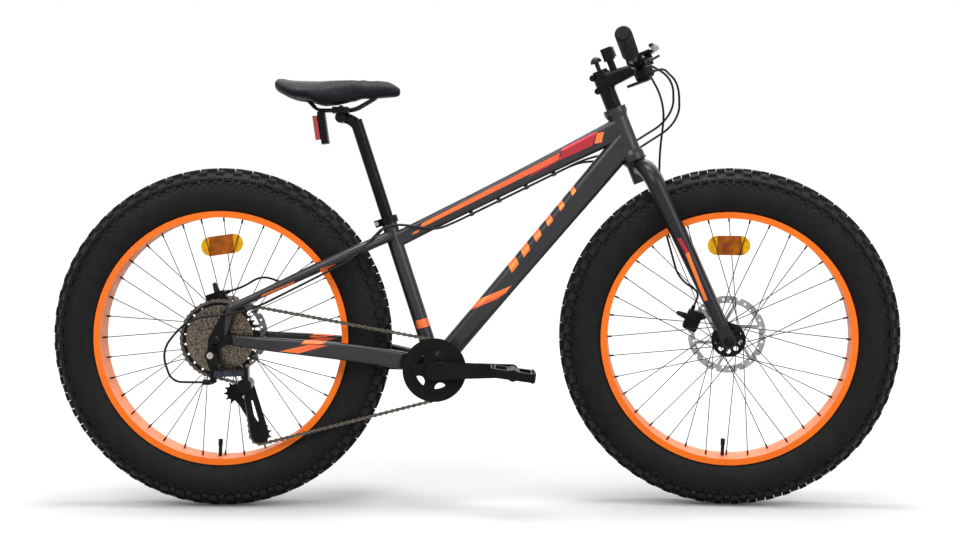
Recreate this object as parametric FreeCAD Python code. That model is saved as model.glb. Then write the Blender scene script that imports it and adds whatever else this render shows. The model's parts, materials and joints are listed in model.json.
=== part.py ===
import FreeCAD, Part
import math
import os

os.makedirs("parts", exist_ok=True)
V = FreeCAD.Vector

# Frame of reference: origin on the ground midway between the axles, x forward, y to the rider's left, z up.

# Whole bike
wheelbase = 1130.0
tyre_r = 378.0
steer_deg = 7.0
clear = 0.3
fit = 0.05
overrun = 5.0
bend_share = 0.45
full_turn = 360.0
quarter_turn = 90.0

# Head tube and steering axis
head_tilt_deg = 21.6
fork_rake = 50.0
head_low = 427.6
head_len = 122.0
head_r = 22.0
head_flare_r = 26.0
head_flare_len = 12.0
head_blend_len = 10.0
head_bore_r = 17.5
bearing_r = 21.0
bearing_len = 8.0
steerer_r = 14.3
steerer_bore_r = 12.0

# Bottom bracket, seat tube and main tubes
bb_back = 90.0
bb_up = 312.0
bb_r = 24.0
bb_half = 50.0
bb_bore_r = 20.0
bb_cup_r = 23.0
bb_cup_len = 9.0
seat_tilt_deg = 17.8
seat_tube_r = 17.45
seat_tube_len = 352.0
post_r = 13.6
tube_wall = 2.0
tube_corner_share = 0.62
top_seat_up = 296.0
top_head_share = 0.62
top_seat_height = 36.0
top_mid_height = 39.0
top_head_height = 52.0
top_seat_width = 31.0
top_head_width = 40.0
top_mid_share = 0.6
down_head_share = 0.36
down_bb_height = 47.0
down_head_height = 56.0
down_bb_width = 44.0
down_head_width = 42.0
down_rise = 20.0
guide_r = 4.4
guide_run = 40.0
guide_len = 9.0
guide_shares = (0.32, 0.44, 0.56, 0.68)

# Chainstays, seatstays and dropouts
stay_root_back = 12.0
stay_root_out = 39.0
stay_root_up = 8.0
stay_bend_back = 104.0
stay_bend_out = 69.0
stay_bend_up = 26.0
stay_mid_share = 0.62
stay_mid_out = 83.0
stay_end_ahead = 16.0
stay_end_up = 4.0
stay_root_height = 38.0
stay_mid_height = 32.0
stay_end_height = 20.0
stay_root_width = 20.0
stay_end_width = 12.0
seatstay_root_down = 44.0
seatstay_root_back = 6.0
seatstay_root_out = 17.0
seatstay_knee_back = 36.0
seatstay_knee_out = 44.0
seatstay_bend_back = 84.0
seatstay_bend_out = 66.0
seatstay_drop_slope_deg = 23.6
seatstay_end_ahead = 30.0
seatstay_end_up = 72.0
seatstay_root_r = 12.0
seatstay_end_r = 8.5
bridge_r = 7.0
dropout_in = 95.0
dropout_thick = 7.0
dropout_r = 18.0
cog_room_r = 28.0
stay_room = 2.0
dropout_arm_r = 9.0
hanger_back = 10.0
hanger_down = 30.0
hanger_r = 10.0

# Seat clamp, seatpost and saddle
collar_r = 22.0
collar_len = 16.0
collar_ear = 9.0
bolt_r = 2.5
bolt_head_r = 4.6
bolt_head_len = 4.5
post_insert = 120.0
post_out = 226.0
post_wall = 2.6
head_arm_back = 33.0
head_arm_up = 6.0
clamp_r = 12.0
clamp_len = 40.0
clamp_plate_len = 36.0
clamp_plate_height = 7.0
rail_r = 3.5
rail_gauge = 44.0
rail_flat_up = 16.0
rail_flat_ahead = 30.0
rail_flat_back = 52.0
rail_nose_ahead = 78.0
rail_nose_up = 28.0
rail_nose_half = 14.0
rail_tail_back = 76.0
rail_tail_up = 26.0
rail_tail_half = 34.0
saddle_nose_ahead = 132.0
saddle_len = 275.0
saddle_top_up = 65.0
saddle_width = 156.0
saddle_thick = 26.0
saddle_wing_drop = 34.0
saddle_tail_rise = 5.0
channel_r = 60.0
channel_depth = 4.0
light_height = 68.0
light_depth = 16.0
light_width = 40.0
lens_depth = 12.0
lens_height = 54.0
light_back = 44.0
light_tilt_deg = 8.0

# Fork
crown_r = 21.0
crown_room_r = 32.0
crown_len = 50.0
race_r = 29.0
race_thick = 2.4
blade_gap = 76.0
blade_r = 19.0
blade_end_r = 14.0
blade_root_out = 8.0
blade_root_down = 22.0
blade_root_ahead = 6.0
blade_top_ahead = 24.0
blade_end_ahead = 47.0
blade_end_up = 34.0
fork_drop_in = 67.5
fork_drop_thick = 8.0
fork_drop_r = 16.0

# Stem, spacers and handlebar
stem_up = 613.4
stem_len = 85.0
stem_height = 42.0
stem_r = 20.0
bar_clamp_r = 22.0
bar_clamp_half = 24.0
bar_bulge_r = 15.9
bar_bulge_half = 34.0
bar_r = 11.1
bar_wall = 2.2
bar_flat_half = 52.0
bar_rise_out = 196.0
bar_rise_back = 8.0
bar_rise_up = 17.0
bar_end_out = 336.0
bar_end_back = 6.0
bar_end_up = 60.0
split_gap = 1.6
spacer_r = 18.0
cap_r = 17.0
cap_thick = 5.0
pinch_gap = 31.0
pinch_back = 20.0
pinch_boss_r = 7.0
pinch_boss_half = 12.0

# Grips and controls on the bar
grip_len = 116.0
grip_r = 17.5
grip_groove = 1.2
grip_rings = 9
grip_dome = 9.0
perch_in = 150.0
perch_len = 18.0
perch_r = 16.0
perch_ahead = 30.0
perch_body_r = 9.5
perch_gap = 7.0
lever_pivot_r = 3.0
lever_thick = 6.4
lever_reach = 54.5
lever_knee = 34.0
lever_len = 96.0
lever_root_r = 7.5
lever_knee_r = 6.5
lever_tip_r = 5.0
adjuster_r = 4.5
adjuster_len = 16.0
pod_in = 118.0
pod_r = 21.0
pod_thick = 24.0
pod_down = 29.0
pod_ahead = 8.0
pod_clamp_len = 12.0
shift_arm = 38.0
shift_arm_r = 5.5
shift_pad_r = 9.0
shift_thick = 5.0
lamp_ahead = 30.0
lamp_up = 53.0
lamp_len = 25.0
lamp_height = 28.0
lamp_width = 34.0
lamp_lens = 5.0
lamp_foot_r = 8.0
bell_r = 13.0
bell_up = 14.0
bell_wall = 1.5
bell_base_r = 5.0

# Wheels
rim_r = 282.5
rim_floor_r = 268.5
rim_half = 40.0
rim_wall = 3.0
rim_hook = 1.2
tyre_half = 50.0
tyre_wide_r = 322.0
tyre_shoulder_half = 42.0
tyre_shoulder_r = 351.0
tyre_crown_r = 370.5
tyre_wall = 3.0
tube_thick = 1.5
knob_pitches = 60
knob_bite = 1.2
centre_knob_in = 1.5
centre_knob_out = 14.0
mid_knob_in = 18.0
mid_knob_out = 29.5
edge_knob_in = 34.0
edge_knob_side = 5.0
mid_knob_rise = 6.6
edge_knob_rise = 5.5
knob_share = 0.46
spoke_count = 36
spoke_cross = 3
spoke_r = 0.95
spoke_head_r = 2.1
nipple_r = 2.0
nipple_len = 13.0
spoke_row = 11.0
spoke_bed_len = 26.0
flange_thick = 3.4
valve_r = 4.0
valve_len = 38.0
valve_cap_r = 5.0
valve_cap_len = 14.0
axle_r = 6.0
nut_r = 11.0
nut_len = 9.0
rear_flange_r = 29.0
rear_hub_r = 18.0
rear_right_flange = -42.0
rear_left_flange = 58.0
front_flange_r = 38.0
front_left_r = 30.0
front_hub_r = 16.0
front_right_flange = -44.0
front_left_flange = 32.0
hole_inset = 3.6
rear_rotor_out = 79.5
front_rotor_out = 52.0
rotor_r = 88.0
rotor_band = 16.0
rotor_thick = 1.8
rotor_hub_r = 28.0
rotor_bore_r = 17.2
rotor_pcd_r = 22.0
rotor_arms = 6
rotor_arm_width = 7.0
rotor_holes = 30
rotor_hole_r = 2.6
rotor_waves = 10
rotor_wave_r = 16.0
rotor_wave_depth = 2.4
reflector_len = 94.0
reflector_height = 43.0
reflector_thick = 7.0
reflector_up = 207.0
reflector_centre_len = 58.0
reflector_corner = 8.0
front_reflector_out = 7.4
rear_reflector_out = 6.8

# Brake calipers and their arms
caliper_len = 46.0
caliper_deep = 34.0
caliper_half = 15.0
pad_thick = 2.0
pad_len = 24.0
pad_deep = 20.0
pad_gap = 0.4
barrel_r = 13.0
barrel_len = 8.0
arm_len = 34.0
arm_root_r = 9.0
arm_tip_r = 5.0
arm_thick = 5.0
caliper_in = 4.0
rear_caliper_deg = 108.0
front_caliper_deg = 136.0
adaptor_thick = 6.0

# Drivetrain
chain_pitch = 12.7
roller_r = 3.88
roller_half = 1.25
pin_r = 1.8
inner_plate = 0.85
outer_plate = 0.8
plate_gap = 0.12
plate_r = 4.2
plate_waist_share = 0.62
ring_teeth = 32
ring_out = 76.0
ring_thick = 1.9
cog_teeth = (42, 34, 28, 24, 21, 18, 15, 13, 11)
cog_in = 52.0
cog_gap = 4.34
cog_thick = 1.7
tooth_rise = 2.6
tooth_tip = 1.8
tooth_fit = 0.3
held_links = 2.0
gap_spread_deg = 62.0
freehub_r = 17.0
freehub_start = 46.0
freehub_end = 94.6
pulley_teeth = 11
pulley_thick = 2.0
pulley_bore_r = 3.0
cage_pivot_ahead = 62.0
cage_pivot_down = 97.0
guide_back = 31.0
guide_down = 19.0
tension_len = 117.0
tension_rest_deg = -82.0
cage_plate = 1.8
cage_half = 5.2
cage_eye_r = 8.0
cage_foot_r = 20.0
crank_len = 170.0
crank_root_r = 19.0
crank_tip_r = 14.5
crank_in = 88.0
crank_thick = 14.0
spindle_r = 12.0
ring_bolt_pcd_r = 50.0
ring_bolts = 5
spider_r = 8.0
guard_r = 69.0
guard_thick = 2.6
guard_window_r = 12.5
guard_window_pcd_r = 42.0
pedal_axle_r = 7.0
pedal_in = 107.0
pedal_width = 92.0
pedal_len = 98.0
pedal_thick = 19.0
pedal_bar = 11.0
pedal_barrel_r = 12.5
pedal_corner = 9.0
pedal_pin_r = 2.0
pedal_pin_len = 2.4
pedal_pins = 4
pedal_tip_deg = 8.0

# Rear derailleur
knuckle_thick = 20.0
knuckle_r = 12.0
link_root_down = 40.0
link_root_ahead = 10.0
link_len = 62.0
link_gap = 17.0
link_out = 121.0
link_height = 13.0
link_rest_deg = 16.2
link_pin_r = 2.2
link_eye_r = 5.0
knuckle_arm_height = 8.0
p_body_r = 15.0
barrel_adjuster_r = 6.0
barrel_adjuster_len = 18.0

# Cables
cable_r = 2.5
cable_gap = 0.4

# Shares and further sizes
rail_bend_share = 0.3
bar_bend_share = 0.12
saddle_tuck_share = 0.78
saddle_lip_share = 0.35
saddle_crown_share = 0.62
saddle_shoulder_share = 0.3
saddle_shares = (
    (0.0, 0.16, -0.9, 0.2, 0.55),
    (0.04, 0.25, -0.1, 0.32, 0.8),
    (0.28, 0.31, 0.0, 0.5, 0.95),
    (0.52, 0.56, 0.0, 0.75, 1.0),
    (0.74, 0.98, 0.1, 1.0, 1.05),
    (0.9, 0.94, 0.6, 0.85, 1.0),
    (0.985, 0.66, 1.0, 0.55, 0.8),
    (1.0, 0.5, 0.7, 0.4, 0.6),
)
channel_shares = (0.3, 0.95)
channel_width = 34.0
blade_bend_share = 0.72
spacer_shares = (0.24, 0.24, 0.52)
face_seat_share = 0.55
face_bolt_share = 0.7
dome_start_share = 0.2
pod_round_share = 0.25
pod_neck_share = 0.6
outlet_share = 0.95
caliper_round = 6.0
adaptor_foot_share = 0.62
cage_search_deg = 12.0
cog_hole_r = 2.6
cog_window_share = 0.38
cog_windows = 9
spider_thick = 3.0
guard_lip = 1.2
pedal_gap_share = 1.1
pin_sink_share = 0.4
bracket_wall = 5.0
stub_r = 6.0
stub_len = 12.0
cage_window_share = 0.35
cage_window_end_share = 0.72
loop_lead = 30.0
loop_out = 36.0
gear_loop_lead = 60.0
gear_loop_swing = 115.0
gear_loop_dip = 22.0
brake_loop_lead = 26.0
brake_loop_swing = 76.0
stay_cable = (
    (95.0, 19.5, 25.0),
    (11.0, 22.0, 37.0),
    (-24.0, 32.0, 31.0),
    (-58.0, 70.0, -5.0),
    (-92.0, 93.0, -40.0),
)
derailleur_cable = ((66.0, 107.0, 62.0), (-60.0, 110.0, 50.0), (-118.0, 114.0, -20.0), (-96.0, 114.0, -88.0))
caliper_cable = ((126.0, 107.0, 114.0), (74.0, 97.0, 134.0))
gear_loop = ((150.0, -30.0, 120.0), (130.0, 36.0, 40.0), (-12.0, 38.0, 12.0))
brake_loop = ((140.0, -50.0, 135.0), (120.0, 30.0, 55.0), (-14.0, 34.0, 30.0))
fork_cable = ((110.0, 60.0, 90.0), (46.0, 101.0, -30.0), (8.0, 98.0, -150.0), (-6.0, 72.0, -290.0))
valve_deg = 92.0
front_reflector_deg = 0.0
rear_reflector_deg = -8.0


def rod(r, start, end):
    """A solid round bar from start to end."""
    return Part.makeCylinder(r, start.distanceToPoint(end), start, end - start)


def hollow_rod(r, bore_r, start, end):
    """A round tube from start to end, open at both ends."""
    reach = (end - start).normalize() * overrun
    return rod(r, start, end).cut(rod(bore_r, start - reach, end + reach))


def axes(origin, along, side):
    """A placement with local x along the first direction and local y close to the second."""
    x = V(along).normalize()
    z = x.cross(side).normalize()
    y = z.cross(x)
    return FreeCAD.Placement(origin, FreeCAD.Rotation(x, y, z, "XYZ"))


def placed(shape, placement):
    """A copy of a shape moved by a placement."""
    copy = shape.copy()
    copy.Placement = placement.multiply(copy.Placement)
    return copy


def moved(shape, offset):
    """A copy of a shape moved by a vector."""
    return placed(shape, FreeCAD.Placement(offset, FreeCAD.Rotation()))


def turned(shape, axis, degrees):
    """A copy of a shape turned about an axis through the origin."""
    return placed(shape, FreeCAD.Placement(V(), FreeCAD.Rotation(axis, degrees)))


def mirrored(shape):
    """A copy of a shape on the other side of the bike's middle plane."""
    return shape.mirror(V(), V(0, 1, 0))


def both_sides(shape):
    """A shape and its mirror image."""
    return [shape, mirrored(shape)]


def joined(shapes):
    """One solid from shapes that overlap."""
    return shapes[0].multiFuse(shapes[1:]).removeSplitter()


def group(shapes):
    """Separate solids kept side by side in one node."""
    return Part.makeCompound(shapes)


def on_circle(centre, r, angle):
    """A point of a circle in the x-z plane."""
    return V(centre.x + r * math.cos(angle), centre.y, centre.z + r * math.sin(angle))


def taper_bar(c1, r1, c2, r2, thick):
    """A flat bar in the x-z plane with round ends and straight sides, thick along y."""
    step = c2 - c1
    heading = math.atan2(step.z, step.x)
    spread = math.acos((r1 - r2) / step.Length)
    a = on_circle(c1, r1, heading + spread)
    b = on_circle(c1, r1, heading + math.pi)
    c = on_circle(c1, r1, heading - spread)
    d = on_circle(c2, r2, heading - spread)
    e = on_circle(c2, r2, heading)
    f = on_circle(c2, r2, heading + spread)
    first = Part.Arc(a, b, c).toShape()
    last = Part.Arc(d, e, f).toShape()
    wire = Part.Wire([first, Part.makeLine(c, d), last, Part.makeLine(f, a)])
    return Part.Face(wire).extrude(V(0, thick, 0))


def round_box(length, width, height, corner):
    """A block about the origin with its upright edges rounded."""
    block = Part.makeBox(length, width, height, V(-length / 2, -width / 2, -height / 2))
    upright = [e for e in block.Edges if abs(e.tangentAt(e.FirstParameter).z) > math.cos(math.pi / 4)]
    return block.makeFillet(corner, upright)


def tube_section(placement, width, height):
    """A rounded rectangle across a tube, width along local y and height along local z."""
    corner = tube_corner_share * min(width, height) / 2
    a = width / 2
    b = height / 2
    k = corner * (1 - math.cos(math.pi / 4))
    right_low = V(0, a, corner - b)
    right_high = V(0, a, b - corner)
    top_right = V(0, a - corner, b)
    top_left = V(0, corner - a, b)
    left_high = V(0, -a, b - corner)
    left_low = V(0, -a, corner - b)
    low_left = V(0, corner - a, -b)
    low_right = V(0, a - corner, -b)
    edges = [Part.makeLine(right_low, right_high)]
    edges.append(Part.Arc(right_high, V(0, a - k, b - k), top_right).toShape())
    edges.append(Part.makeLine(top_right, top_left))
    edges.append(Part.Arc(top_left, V(0, k - a, b - k), left_high).toShape())
    edges.append(Part.makeLine(left_high, left_low))
    edges.append(Part.Arc(left_low, V(0, k - a, k - b), low_left).toShape())
    edges.append(Part.makeLine(low_left, low_right))
    edges.append(Part.Arc(low_right, V(0, a - k, k - b), right_low).toShape())
    return placed(Part.Wire(edges), placement)


def tube_loft(stations, wall):
    """A hollow tube through stations of (placement, width, height)."""
    outer = [tube_section(p, w, h) for p, w, h in stations]
    inner = [tube_section(p, w - 2 * wall, h - 2 * wall) for p, w, h in stations]
    return Part.makeLoft(outer, True).cut(Part.makeLoft(inner, True))


def path_stations(points, widths, heights):
    """Tube stations along a path, each section square to the path there."""
    stations = []
    for i, point in enumerate(points):
        before = points[max(i - 1, 0)]
        after = points[min(i + 1, len(points) - 1)]
        up = V(0, 0, 1).cross(after - before)
        stations.append((axes(point, after - before, up), widths[i], heights[i]))
    return stations


def round_loft(points, radii, side):
    """A solid round limb through a path, with its own radius at each point."""
    wires = []
    for i, point in enumerate(points):
        before = points[max(i - 1, 0)]
        after = points[min(i + 1, len(points) - 1)]
        circle = Part.Wire([Part.makeCircle(radii[i], V(), V(1, 0, 0))])
        wires.append(placed(circle, axes(point, after - before, side)))
    return Part.makeLoft(wires, True)


def blend(a, b, share):
    """The point part of the way from a to b."""
    return a + (b - a) * share


def rounded_path(points, share):
    """Straight runs joined by tangent arcs as large as the runs allow, and the smallest arc radius."""
    edges = []
    start = points[0]
    tightest = math.inf
    for a, b, c in zip(points, points[1:], points[2:]):
        u = (a - b).normalize()
        w = (c - b).normalize()
        half = u.getAngle(w) / 2
        reach = share * min(a.distanceToPoint(b), b.distanceToPoint(c))
        radius = reach * math.tan(half)
        tightest = min(tightest, radius)
        middle = b + (u + w).normalize() * (radius / math.sin(half) - radius)
        edges.append(Part.LineSegment(start, b + u * reach).toShape())
        edges.append(Part.Arc(b + u * reach, middle, b + w * reach).toShape())
        start = b + w * reach
    edges.append(Part.LineSegment(start, points[-1]).toShape())
    return Part.Wire(edges), tightest


def cord(points, r, name, share):
    """A round cord along a rounded path."""
    wire, tightest = rounded_path(points, share)
    profile = Part.Wire([Part.makeCircle(r, points[0], points[1] - points[0])])
    solid = wire.makePipeShell([profile], True, False)
    ideal = math.pi * r * r * wire.Length
    print(name, "bend radius", round(tightest, 1), "length", round(wire.Length), "fill",
            round(solid.Volume / ideal, 3))
    return solid


def spun(outline):
    """A solid of revolution about y from (y, radius) corners."""
    corners = [V(r, y, 0) for y, r in outline]
    wire = Part.makePolygon(corners + corners[:1])
    return Part.Face(wire).revolve(V(), V(0, 1, 0), full_turn)


def ring(y1, y2, r, bore_r):
    """A plain ring about y."""
    return spun([(y1, bore_r), (y1, r), (y2, r), (y2, bore_r)])


def around(shape, count):
    """Copies of a shape evenly turned about y."""
    return [turned(shape, V(0, 1, 0), full_turn * i / count) for i in range(count)]


def screw(seat, outward, shank):
    """A socket-head bolt with its head on the seat point and its shank running back from it."""
    head_end = seat + outward * bolt_head_len
    socket = rod(bolt_head_r / 2, head_end - outward * (bolt_head_len / 2), head_end + outward * overrun)
    head = rod(bolt_head_r, seat, head_end).cut(socket)
    return joined([head, rod(bolt_r, seat - outward * shank, seat + outward * (bolt_head_len / 4))])


# Shared positions
rear_axle_at = V(-wheelbase / 2, 0, tyre_r)
bb_at = V(-bb_back, 0, bb_up)
seat_tilt = math.radians(seat_tilt_deg)
seat_dir = V(-math.sin(seat_tilt), 0, math.cos(seat_tilt))
head_tilt = math.radians(head_tilt_deg)
axis_foot = V(wheelbase / 2 - fork_rake / math.cos(head_tilt), 0, tyre_r)
head_frame = FreeCAD.Placement(axis_foot, FreeCAD.Rotation(V(0, 1, 0), -head_tilt_deg))
steer_turn = FreeCAD.Placement(V(), FreeCAD.Rotation(V(0, 0, 1), -steer_deg))
steer_frame = head_frame.multiply(steer_turn)
front_axle_local = V(fork_rake, 0, -fork_rake * math.tan(head_tilt))
seat_top = bb_at + seat_dir * seat_tube_len
post_top = seat_top + seat_dir * post_out
rail_at = post_top + V(-head_arm_back, 0, head_arm_up + rail_flat_up)
down = V(0, 0, -1)
ahead = V(1, 0, 0)
left = V(0, 1, 0)


# Frame


def head_solid():
    """Head tube without its bore, in steering-axis coordinates."""
    start = head_low
    end = head_low + head_len
    neck = head_flare_len + head_blend_len
    corners = [V(0, 0, start), V(head_flare_r, 0, start), V(head_flare_r, 0, start + head_flare_len)]
    corners += [V(head_r, 0, start + neck), V(head_r, 0, end - neck)]
    corners += [V(head_flare_r, 0, end - head_flare_len), V(head_flare_r, 0, end), V(0, 0, end)]
    wire = Part.makePolygon(corners + corners[:1])
    return Part.Face(wire).revolve(V(), V(0, 0, 1), full_turn)


def head_tube():
    """Head tube with a bore and two bearing seats."""
    low = V(0, 0, head_low)
    high = V(0, 0, head_low + head_len)
    up = V(0, 0, 1)
    body = head_solid().cut(rod(head_bore_r, low - up * overrun, high + up * overrun))
    body = body.cut(rod(bearing_r, low - up * overrun, low + up * bearing_len))
    body = body.cut(rod(bearing_r, high - up * bearing_len, high + up * overrun))
    return placed(body, head_frame)


def frame_bearings():
    """Headset bearings in the head tube and bottom bracket cups at the shell's ends."""
    low = V(0, 0, head_low)
    high = V(0, 0, head_low + head_len)
    up = V(0, 0, 1)
    lower = hollow_rod(bearing_r, steerer_r + fit, low, low + up * bearing_len)
    upper = hollow_rod(bearing_r, steerer_r + fit, high - up * bearing_len, high)
    cup = ring(bb_half, bb_half + bb_cup_len, bb_cup_r, spindle_r + fit)
    sleeve = ring(bb_half - bb_cup_len, bb_half, bb_bore_r, spindle_r + fit)
    cup = moved(joined([cup, sleeve]), bb_at)
    return group([placed(lower, head_frame), placed(upper, head_frame)] + both_sides(cup))


def seat_tube():
    """Seat tube with its bore for the post, slotted at the back under the clamp."""
    body = rod(seat_tube_r, bb_at, seat_top)
    body = body.cut(rod(post_r + fit, bb_at, seat_top + seat_dir * overrun))
    body = body.cut(shell_solid())
    slot_at = axes(seat_top, seat_dir, left)
    slot = Part.makeBox(3 * collar_len, split_gap, 2 * seat_tube_r, V(-2 * collar_len, -split_gap / 2, 0))
    return body.cut(placed(slot, slot_at))


def shell_solid():
    """Bottom bracket shell without its bore."""
    return moved(rod(bb_r, V(0, -bb_half, 0), V(0, bb_half, 0)), bb_at)


def bottom_bracket_shell():
    """Bottom bracket shell."""
    return moved(ring(-bb_half, bb_half, bb_r, bb_bore_r), bb_at)


def seat_clamp():
    """Split collar round the seat tube's top, with a bolt across its ears at the back."""
    low = seat_top - seat_dir * collar_len
    collar = hollow_rod(collar_r, seat_tube_r, low, seat_top)
    back = axes(low + seat_dir * (collar_len / 2), seat_dir, left)
    ear_reach = collar_r + collar_ear
    ears = Part.makeBox(collar_len, 2 * collar_ear, ear_reach, V(-collar_len / 2, -collar_ear, 0))
    ears = placed(ears, back).cut(rod(collar_r, low - seat_dir * overrun, seat_top + seat_dir * overrun))
    body = joined([collar, ears])
    slot = Part.makeBox(2 * collar_len, split_gap, 2 * ear_reach, V(-collar_len, -split_gap / 2, 0))
    body = body.cut(placed(slot, back))
    bolt_at = back.multVec(V(0, 0, collar_r + collar_ear / 2))
    hole = rod(bolt_r, bolt_at - left * (2 * collar_ear), bolt_at + left * (2 * collar_ear))
    bolt = screw(bolt_at - left * collar_ear, -left, 2 * collar_ear)
    return group([body.cut(hole), bolt])


def top_ends():
    """Ends of the top tube's centre line on the seat tube and head tube axes."""
    start = bb_at + seat_dir * top_seat_up
    end = head_frame.multVec(V(0, 0, head_low + head_len * top_head_share))
    return start, end


def top_solid_stations():
    """Sections of the top tube, deeper toward the head tube."""
    start, end = top_ends()
    run = end - start
    middle = blend(start, end, top_mid_share)
    stations = [(axes(start, run, left), top_seat_width, top_seat_height)]
    stations.append((axes(middle, run, left), top_seat_width, top_mid_height))
    stations.append((axes(end, run, left), top_head_width, top_head_height))
    return stations


def top_depth(share):
    """Half height of the top tube part of the way along it."""
    if share > top_mid_share:
        deeper = (share - top_mid_share) / (1 - top_mid_share)
        return (top_mid_height + (top_head_height - top_mid_height) * deeper) / 2
    return (top_seat_height + (top_mid_height - top_seat_height) * share / top_mid_share) / 2


def cable_guides():
    """Points of the straight cable line under the top tube, the tube's direction and its downward side."""
    start, end = top_ends()
    run = (end - start).normalize()
    under = V(run.z, 0, -run.x)
    first = blend(start, end, guide_shares[0]) + under * (top_depth(guide_shares[0]) + guide_r)
    last = blend(start, end, guide_shares[-1]) + under * (top_depth(guide_shares[-1]) + guide_r)
    span = guide_shares[-1] - guide_shares[0]
    points = [blend(first, last, (share - guide_shares[0]) / span) for share in guide_shares]
    return points, (last - first).normalize(), under


def top_tube():
    """Top tube mitred to the seat and head tubes, with welded cable guides below."""
    body = tube_loft(top_solid_stations(), tube_wall)
    body = body.cut(rod(seat_tube_r, bb_at, seat_top))
    body = body.cut(placed(head_solid(), head_frame))
    body = max(body.Solids, key=lambda s: s.Volume)
    solid = Part.makeLoft([tube_section(p, w, h) for p, w, h in top_solid_stations()], True)
    points, run, under = cable_guides()
    shapes = [body]
    for point in points:
        frame = axes(point, run, left)
        wide = guide_r + cable_gap
        pad = Part.makeBox(guide_len, 2 * wide, 3 * guide_r, V(-guide_len / 2, -wide, 0))
        pads = [placed(pad, frame)]
        holes = []
        for side in (-1, 1):
            at = point + left * (side * wide)
            pads.append(rod(guide_r, at - run * (guide_len / 2), at + run * (guide_len / 2)))
            holes.append(rod(cable_r, at - run * guide_len, at + run * guide_len))
        shapes.append(joined(pads).cut(group(holes)).cut(solid))
    return group(shapes)


def down_tube():
    """Down tube from the shell, curving up under the top tube into the head tube."""
    end = head_frame.multVec(V(0, 0, head_low + head_len * down_head_share))
    run = end - bb_at
    up = V(-run.z, 0, run.x).normalize()
    early = blend(bb_at, end, 1 / 3)
    late = blend(bb_at, end, 2 / 3)
    last_dir = run + up * down_rise
    stations = [(axes(bb_at, run, left), down_bb_width, down_bb_height)]
    stations.append((axes(early, run, left), down_bb_width, down_bb_height))
    stations.append((axes(late, run, left), down_bb_width, (down_bb_height + down_head_height) / 2))
    stations.append((axes(end, last_dir, left), down_head_width, down_head_height))
    body = tube_loft(stations, tube_wall)
    top = Part.makeLoft([tube_section(p, w, h) for p, w, h in top_solid_stations()], True)
    low = V(0, 0, head_low)
    turning = placed(rod(crown_room_r, low - V(0, 0, crown_len), low), head_frame)
    for tool in (shell_solid(), placed(head_solid(), head_frame), top, rod(seat_tube_r, bb_at, seat_top), turning):
        body = body.cut(tool)
    return max(body.Solids, key=lambda s: s.Volume)


def dropout():
    """Right dropout plate round the axle, with arms to both stays and the gear hanger."""
    inner = -dropout_in - dropout_thick
    axle = rear_axle_at + V(0, inner, 0)
    stay_end = axle + V(stay_end_ahead + dropout_r, 0, stay_end_up)
    seat_end = axle + V(seatstay_end_ahead, 0, seatstay_end_up)
    hanger = axle + V(-hanger_back, 0, -hanger_down)
    plates = [taper_bar(axle, dropout_r, stay_end, dropout_arm_r, dropout_thick)]
    plates.append(taper_bar(axle, dropout_r, seat_end, dropout_arm_r, dropout_thick))
    plates.append(taper_bar(axle, dropout_r, hanger, hanger_r, dropout_thick))
    plate = joined(plates)
    far = left * (dropout_thick + overrun)
    plate = plate.cut(rod(axle_r, axle - left * overrun, axle + far))
    return plate.cut(rod(bolt_head_r, hanger - left * overrun, hanger + far))


def left_dropout():
    """Left dropout plate, without a hanger."""
    axle = rear_axle_at + V(0, dropout_in, 0)
    stay_end = axle + V(stay_end_ahead + dropout_r, 0, stay_end_up)
    seat_end = axle + V(seatstay_end_ahead, 0, seatstay_end_up)
    plate = joined([taper_bar(axle, dropout_r, stay_end, dropout_arm_r, dropout_thick),
                    taper_bar(axle, dropout_r, seat_end, dropout_arm_r, dropout_thick)])
    return plate.cut(rod(axle_r, axle - left * overrun, axle + left * (dropout_thick + overrun)))


def chainstay():
    """Right chainstay, bent out past the tyre, without its dropout."""
    out = dropout_in + dropout_thick / 2
    root = bb_at + V(-stay_root_back, -stay_root_out, stay_root_up)
    bend = bb_at + V(-stay_bend_back, -stay_bend_out, stay_bend_up)
    end = rear_axle_at + V(stay_end_ahead, -out, stay_end_up)
    middle = blend(bend, end, stay_mid_share)
    middle.y = -stay_mid_out
    early = blend(root, bend, 1 / 2)
    points = [root, early, bend, middle, end]
    widths = [stay_root_width, stay_root_width, stay_root_width, stay_root_width, stay_end_width]
    heights = [stay_root_height, stay_root_height, stay_root_height, stay_mid_height, stay_end_height]
    return tube_loft(path_stations(points, widths, heights), tube_wall)


def chainstays():
    """Both chainstays with the dropouts welded to their ends."""
    stay = chainstay().cut(shell_solid())
    stay = stay.cut(rod(seat_tube_r, bb_at, seat_top))
    stay = max(stay.Solids, key=lambda s: s.Volume)
    stay = stay.cut(rod(cog_room_r, rear_axle_at - left * dropout_in, rear_axle_at))
    stay = max(stay.Solids, key=lambda s: s.Volume)
    disc_side = rear_rotor_out + rotor_thick / 2 + stay_room
    stay = stay.cut(rod(rotor_r + stay_room, rear_axle_at - left * disc_side, rear_axle_at))
    stay = max(stay.Solids, key=lambda s: s.Volume)
    cup_end = bb_half + bb_cup_len + clear
    stay = stay.cut(rod(bb_cup_r + clear, bb_at - left * cup_end, bb_at))
    stay = max(stay.Solids, key=lambda s: s.Volume)
    axle_room = rod(dropout_r, rear_axle_at - left * (2 * dropout_in),
            rear_axle_at + left * (2 * dropout_in))
    stay = stay.cut(axle_room)
    stay = max(stay.Solids, key=lambda s: s.Volume)
    right = joined([stay, dropout()])
    other = joined([mirrored(stay), left_dropout()])
    return group([right, other])


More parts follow.
